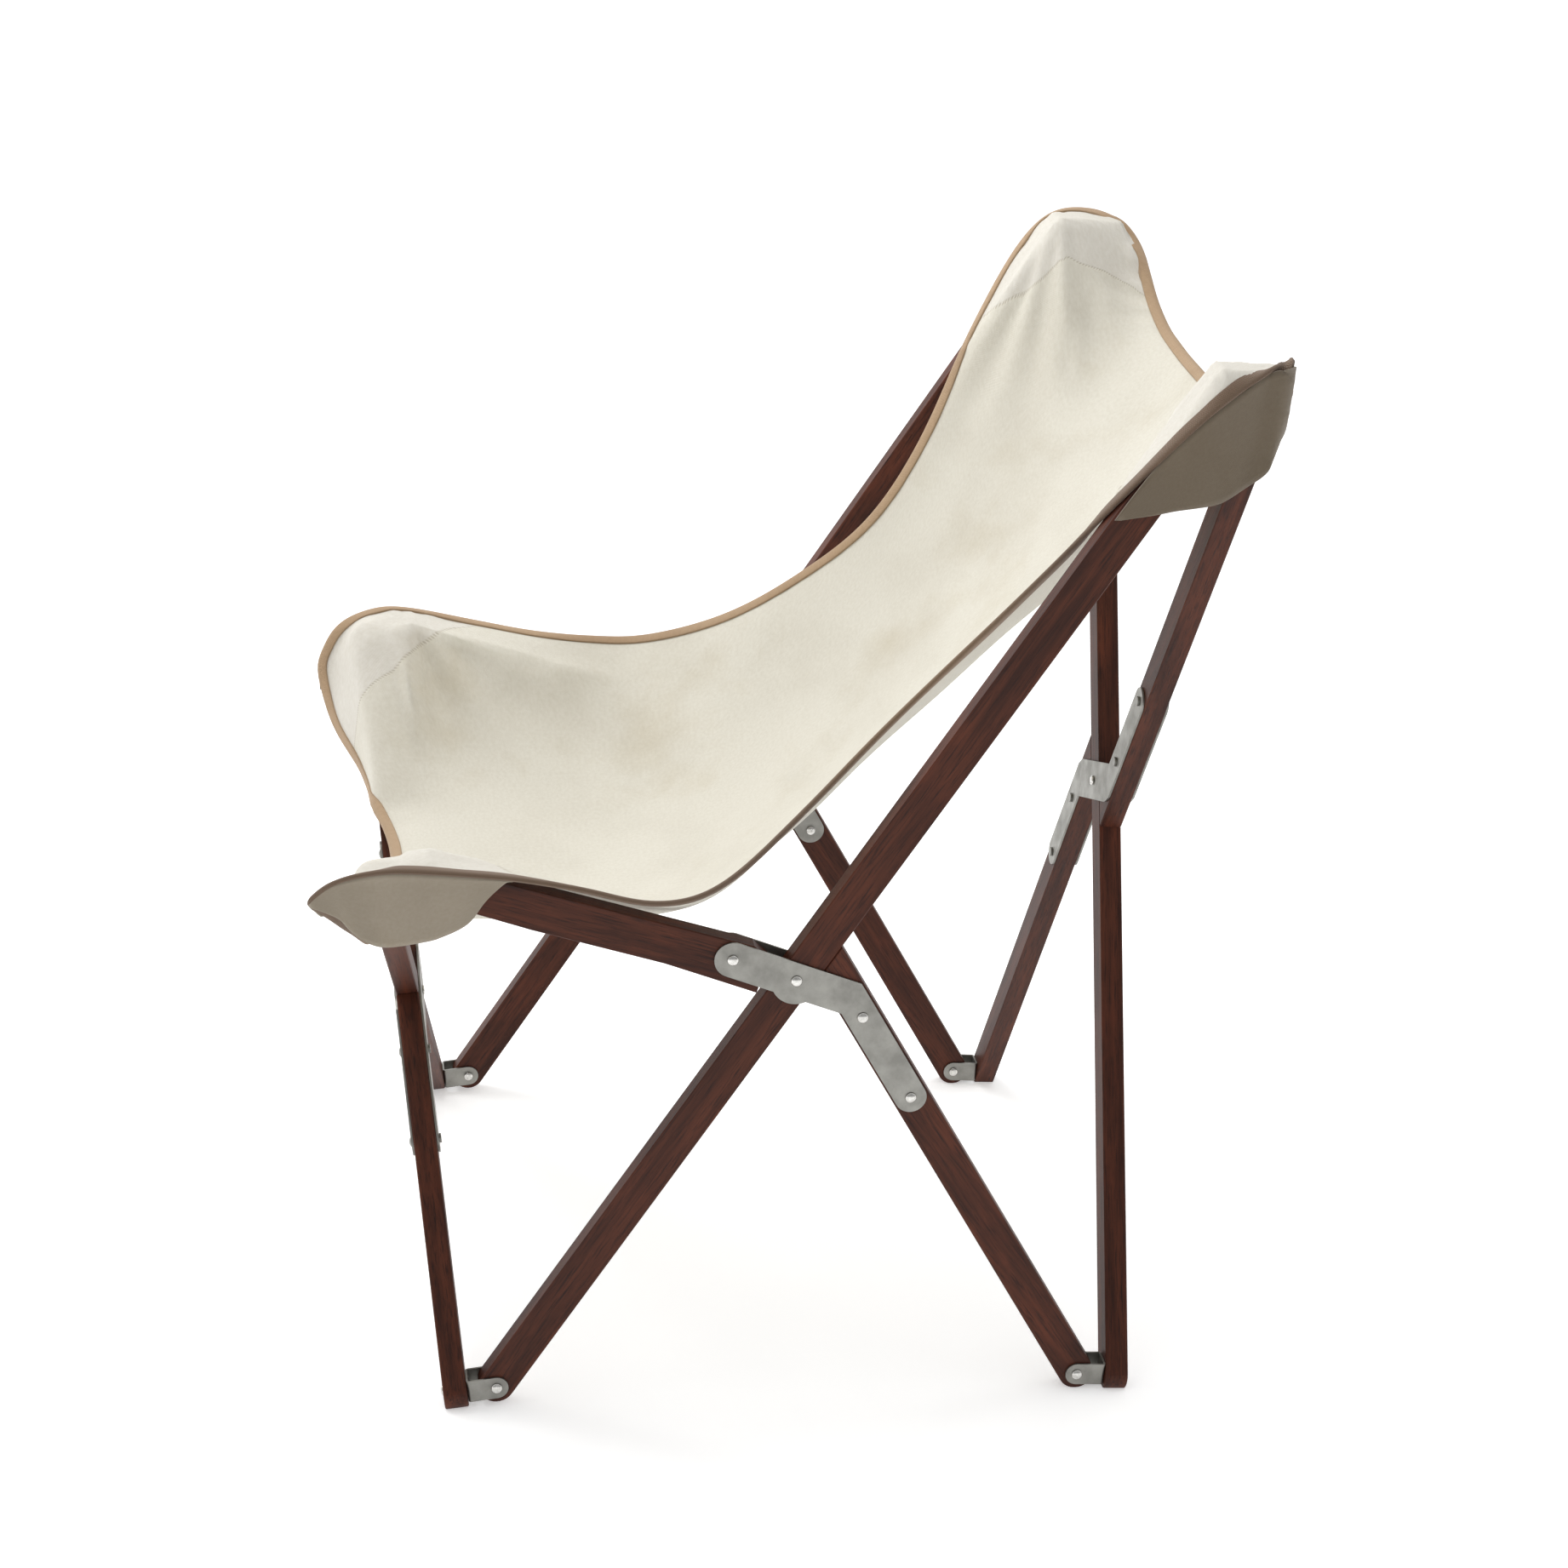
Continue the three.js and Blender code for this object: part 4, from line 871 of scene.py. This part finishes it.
# Its section: how far in from the cloth's edge, and how far off the cloth
TAPE_SECTION = [
    (TAPE_WIDTH, 0.0009), (TAPE_WIDTH, TAPE_HALF * 0.8), (TAPE_WIDTH - 0.001, TAPE_HALF),
    (0.0022, TAPE_HALF), (-0.0005, TAPE_HALF * 0.75), (-0.0018, 0),
    (-0.0005, -TAPE_HALF * 0.75), (0.0022, -TAPE_HALF), (TAPE_WIDTH - 0.001, -TAPE_HALF),
    (TAPE_WIDTH, -TAPE_HALF * 0.8), (TAPE_WIDTH, -0.0009)]
MOST_FOLLOWED = 0.003
first_corners = (np.arange(ROWS)[:, None] * (COLUMNS + 1) + np.arange(COLUMNS)[None, :]).ravel()
around_cell = np.array([0, 1, COLUMNS + 2, COLUMNS + 1])
quads = first_corners[:, None] + around_cell
surface = BVHTree.FromPolygons(sling_points.reshape(-1, 3).tolist(), quads.tolist())


def on_surface(width):
    """The cloth's surface at one distance in from its edge."""
    places = rim + inward * width
    if width <= 0:
        return places
    found = np.array([surface.find_nearest(Vector(place))[0] for place in places])
    height = ((found - places) * upward).sum(axis=1, keepdims=True)
    return places + upward * smoothed_loop(np.clip(height, -MOST_FOLLOWED, MOST_FOLLOWED), 4)


section_loops = [on_surface(w) + upward * h for w, h in TAPE_SECTION + TAPE_SECTION[:1]]
tape_points = np.stack(section_loops, axis=1)
tape_points = np.concatenate([tape_points, tape_points[:1]], axis=0)
rim_steps = np.linalg.norm(np.diff(rim, axis=0, append=rim[:1]), axis=1)
tape_length = np.concatenate([[0], np.cumsum(rim_steps)])
round_section = 0.003 * np.arange(len(section_loops))
tape_uv = np.stack(np.broadcast_arrays(tape_length[:, None], round_section[None, :]), axis=-1)
tape = laid_grid("binding_tape", tape_points, tape_uv, 0, TAPE, closed=True)
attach(tape, "sling")
print("tape round the edge:", round(float(tape_length[-1]), 2), "m")

# %% [markdown]
# ## Corner pockets
# A pocket under each corner slips over the end of the frame and holds the sling in
# place. It is a curved wall of canvas, sewn up into the binding. Its canvas is painted
# darker as painted shade, and the back ones carry deeper painted shade. Each wall is drawn
# from a few stations along the edge, with how far it hangs and how it is drawn in. The
# far side mirrors the near one, but its back pocket starts a little further back.

# %% Stations: across, along, drop, draw
BACK_POCKET = [
    (1, 0.752, 0, -0.6), (1, 0.782, 0.34, -1), (1, 0.812, 0.6, -1), (1, 0.845, 0.78, -1),
    (1, 0.88, 0.88, -1), (1, 0.915, 0.9, -0.9), (1, 0.95, 0.88, -0.7), (1, 0.98, 0.8, -0.6),
    (0.99, 1, 0.72, -0.5), (0.93, 1, 0.48, -0.3), (0.86, 1, 0.18, 0), (0.8, 1, 0, 0)]
FAR_BACK_POCKET = [(1, 0.79, 0, -0.6)] + BACK_POCKET[2:]
FRONT_POCKET = [
    (1, 0.253, 0, -0.5), (1, 0.244, 0.3, -0.8), (1, 0.232, 0.57, -0.9), (1, 0.218, 0.77, -1),
    (1, 0.202, 0.86, -1), (1, 0.152, 1, -1), (1, 0.114, 0.92, -0.8), (1, 0.081, 0.62, -0.4),
    (1, 0.0625, 0.4, -0.2), (1, 0.026, 0.12, 0), (1, 0, 0, 0), (0.96, 0, 0, 0)]

# %% What a back and a front corner have: how deep, how drawn in, and the room the frame needs
# Each corner's pocket material is painted shade, deeper at the back corners.
BACK_CORNER = {"top": BACK_TOP, "away": 1, "depth": 0.105, "draw": 0.012,
               "clear": 0.0585, "lean": 0.048, "cut_from": 0.0, "material": SHADED_CANVAS}
FRONT_CORNER = {"top": FRONT_TOP, "away": -1, "depth": 0.08, "draw": 0.017,
                "clear": 0.0585, "lean": -0.143, "cut_from": 0.2, "material": SHADE_PAINTED_POCKET_CANVAS}
SIDE_CLEAR, CORNER_REACH = 0.0205, 0.0405
CUT_ACROSS, CUT_ALONG = 0.55, 0.22
POCKET_COLUMNS, POCKET_ROWS = 60, 16
POCKET_WAVE, UNDER_EDGE = 0.0022, 0.002


def on_cloth(u, v):
    """A place on the sheet before its folds, between its rows and columns."""
    r, c = v * ROWS, (u + 1) / 2 * COLUMNS
    r0, c0 = np.minimum(r.astype(int), ROWS - 1), np.minimum(c.astype(int), COLUMNS - 1)
    r1, c1 = (r - r0)[:, None], (c - c0)[:, None]
    top = bare[r0, c0] * (1 - c1) + bare[r0, c0 + 1] * c1
    return top * (1 - r1) + (bare[r0 + 1, c0] * (1 - c1) + bare[r0 + 1, c0 + 1] * c1) * r1


def hung_wall(hem, drop, out, shares, corner):
    """Rows of places from the sling's edge down to the pocket's free edge."""
    middle = np.array([HALF_WIDTH, corner["top"].y + corner["away"] * CORNER_REACH, 0])
    outward = (hem - middle) * np.array([1, 1, 0])
    outward /= np.linalg.norm(outward, axis=1, keepdims=True)
    rows = []
    for down in np.linspace(0, 1, POCKET_ROWS):
        row = hem + outward * (out * corner["draw"] * down**0.6)[:, None]
        row[:, 2] -= UNDER_EDGE + corner["depth"] * np.clip(drop, 0, None) * down
        row += outward * (POCKET_WAVE * np.sin(shares * 31 + 2 * down) * down)[:, None]
        rows.append(row)
    return np.array(rows)


def clear_of_frame(points, corner):
    """Push a wall off the sticks, and draw its corner in below them, where there is room."""
    top, away = corner["top"], corner["away"]
    side_clear, end_clear = HALF_WIDTH + SIDE_CLEAR, top.y + away * corner["clear"]
    wall_y = end_clear + corner["lean"] * (points[..., 2] - top.z)
    sideways, endways = side_clear - points[..., 0], (wall_y - points[..., 1]) * away
    inside = (sideways > 0) & (endways > 0)
    by_side = inside & (sideways < endways)
    points[..., 0] = np.where(by_side, side_clear, points[..., 0])
    points[..., 1] = np.where(inside & ~by_side, wall_y, points[..., 1])
    below = np.maximum(0, top.z - corner["cut_from"] - points[..., 2]) + 1e-6
    across_cut, along_cut = CUT_ACROSS * below, CUT_ALONG * below
    out_x, out_y = side_clear - points[..., 0], (wall_y - points[..., 1]) * away
    beyond = np.clip(1 - out_x / across_cut - out_y / along_cut, 0, 1)
    at_corner = (np.abs(out_x) < across_cut) & (np.abs(out_y) < along_cut)
    points[..., 1] -= np.where(at_corner, beyond * along_cut, 0) * away


# %% Make the pockets
def pocket(name, stations, corner, sign, node_name):
    depth = corner["depth"]
    shares = np.linspace(0, 1, POCKET_COLUMNS)
    across, along, drop, out = smooth_line(stations, shares).T
    hem = on_cloth(sign * np.clip(across, 0, 1), np.clip(along, 0, 1)) * np.array([sign, 1, 1])
    points = hung_wall(hem, drop, out, shares, corner)
    for _ in range(4):
        clear_of_frame(points, corner)
        points[1:, 1:-1] = (points[1:, :-2] + 2 * points[1:, 1:-1] + points[1:, 2:]) / 4
    points[..., 0] *= sign
    run = np.concatenate([[0], np.cumsum(np.linalg.norm(np.diff(hem, axis=0), axis=1))])
    down_wall = np.linspace(0, depth, POCKET_ROWS)
    uvs = np.stack(np.broadcast_arrays(run[None, :], down_wall[:, None]), axis=-1)
    made = laid_grid(name, points, uvs, CLOTH_THICKNESS, corner["material"])
    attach(made, "sling")
    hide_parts(node_name)
    return made


pockets = []
for side, sign, behind in (("near", 1, BACK_POCKET), ("far", -1, FAR_BACK_POCKET)):
    pockets.append(pocket(f"{side}_back_pocket_cloth", behind, BACK_CORNER, sign,
                          f"{side}_back_pocket"))
    pockets.append(pocket(f"{side}_front_pocket_cloth", FRONT_POCKET, FRONT_CORNER, sign,
                          f"{side}_front_pocket"))

# %% [markdown]
# ## The cloth's own meshes
# The sling is a cut sheet of known size, sewn to its tape and laid over the frame.
# Each of its pieces is given a mesh of its own.

# %% Give each cloth piece its own mesh
for piece in [canvas, tape] + pockets:
    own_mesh(piece)
print("pieces that flatten:", 2 + len(pockets))
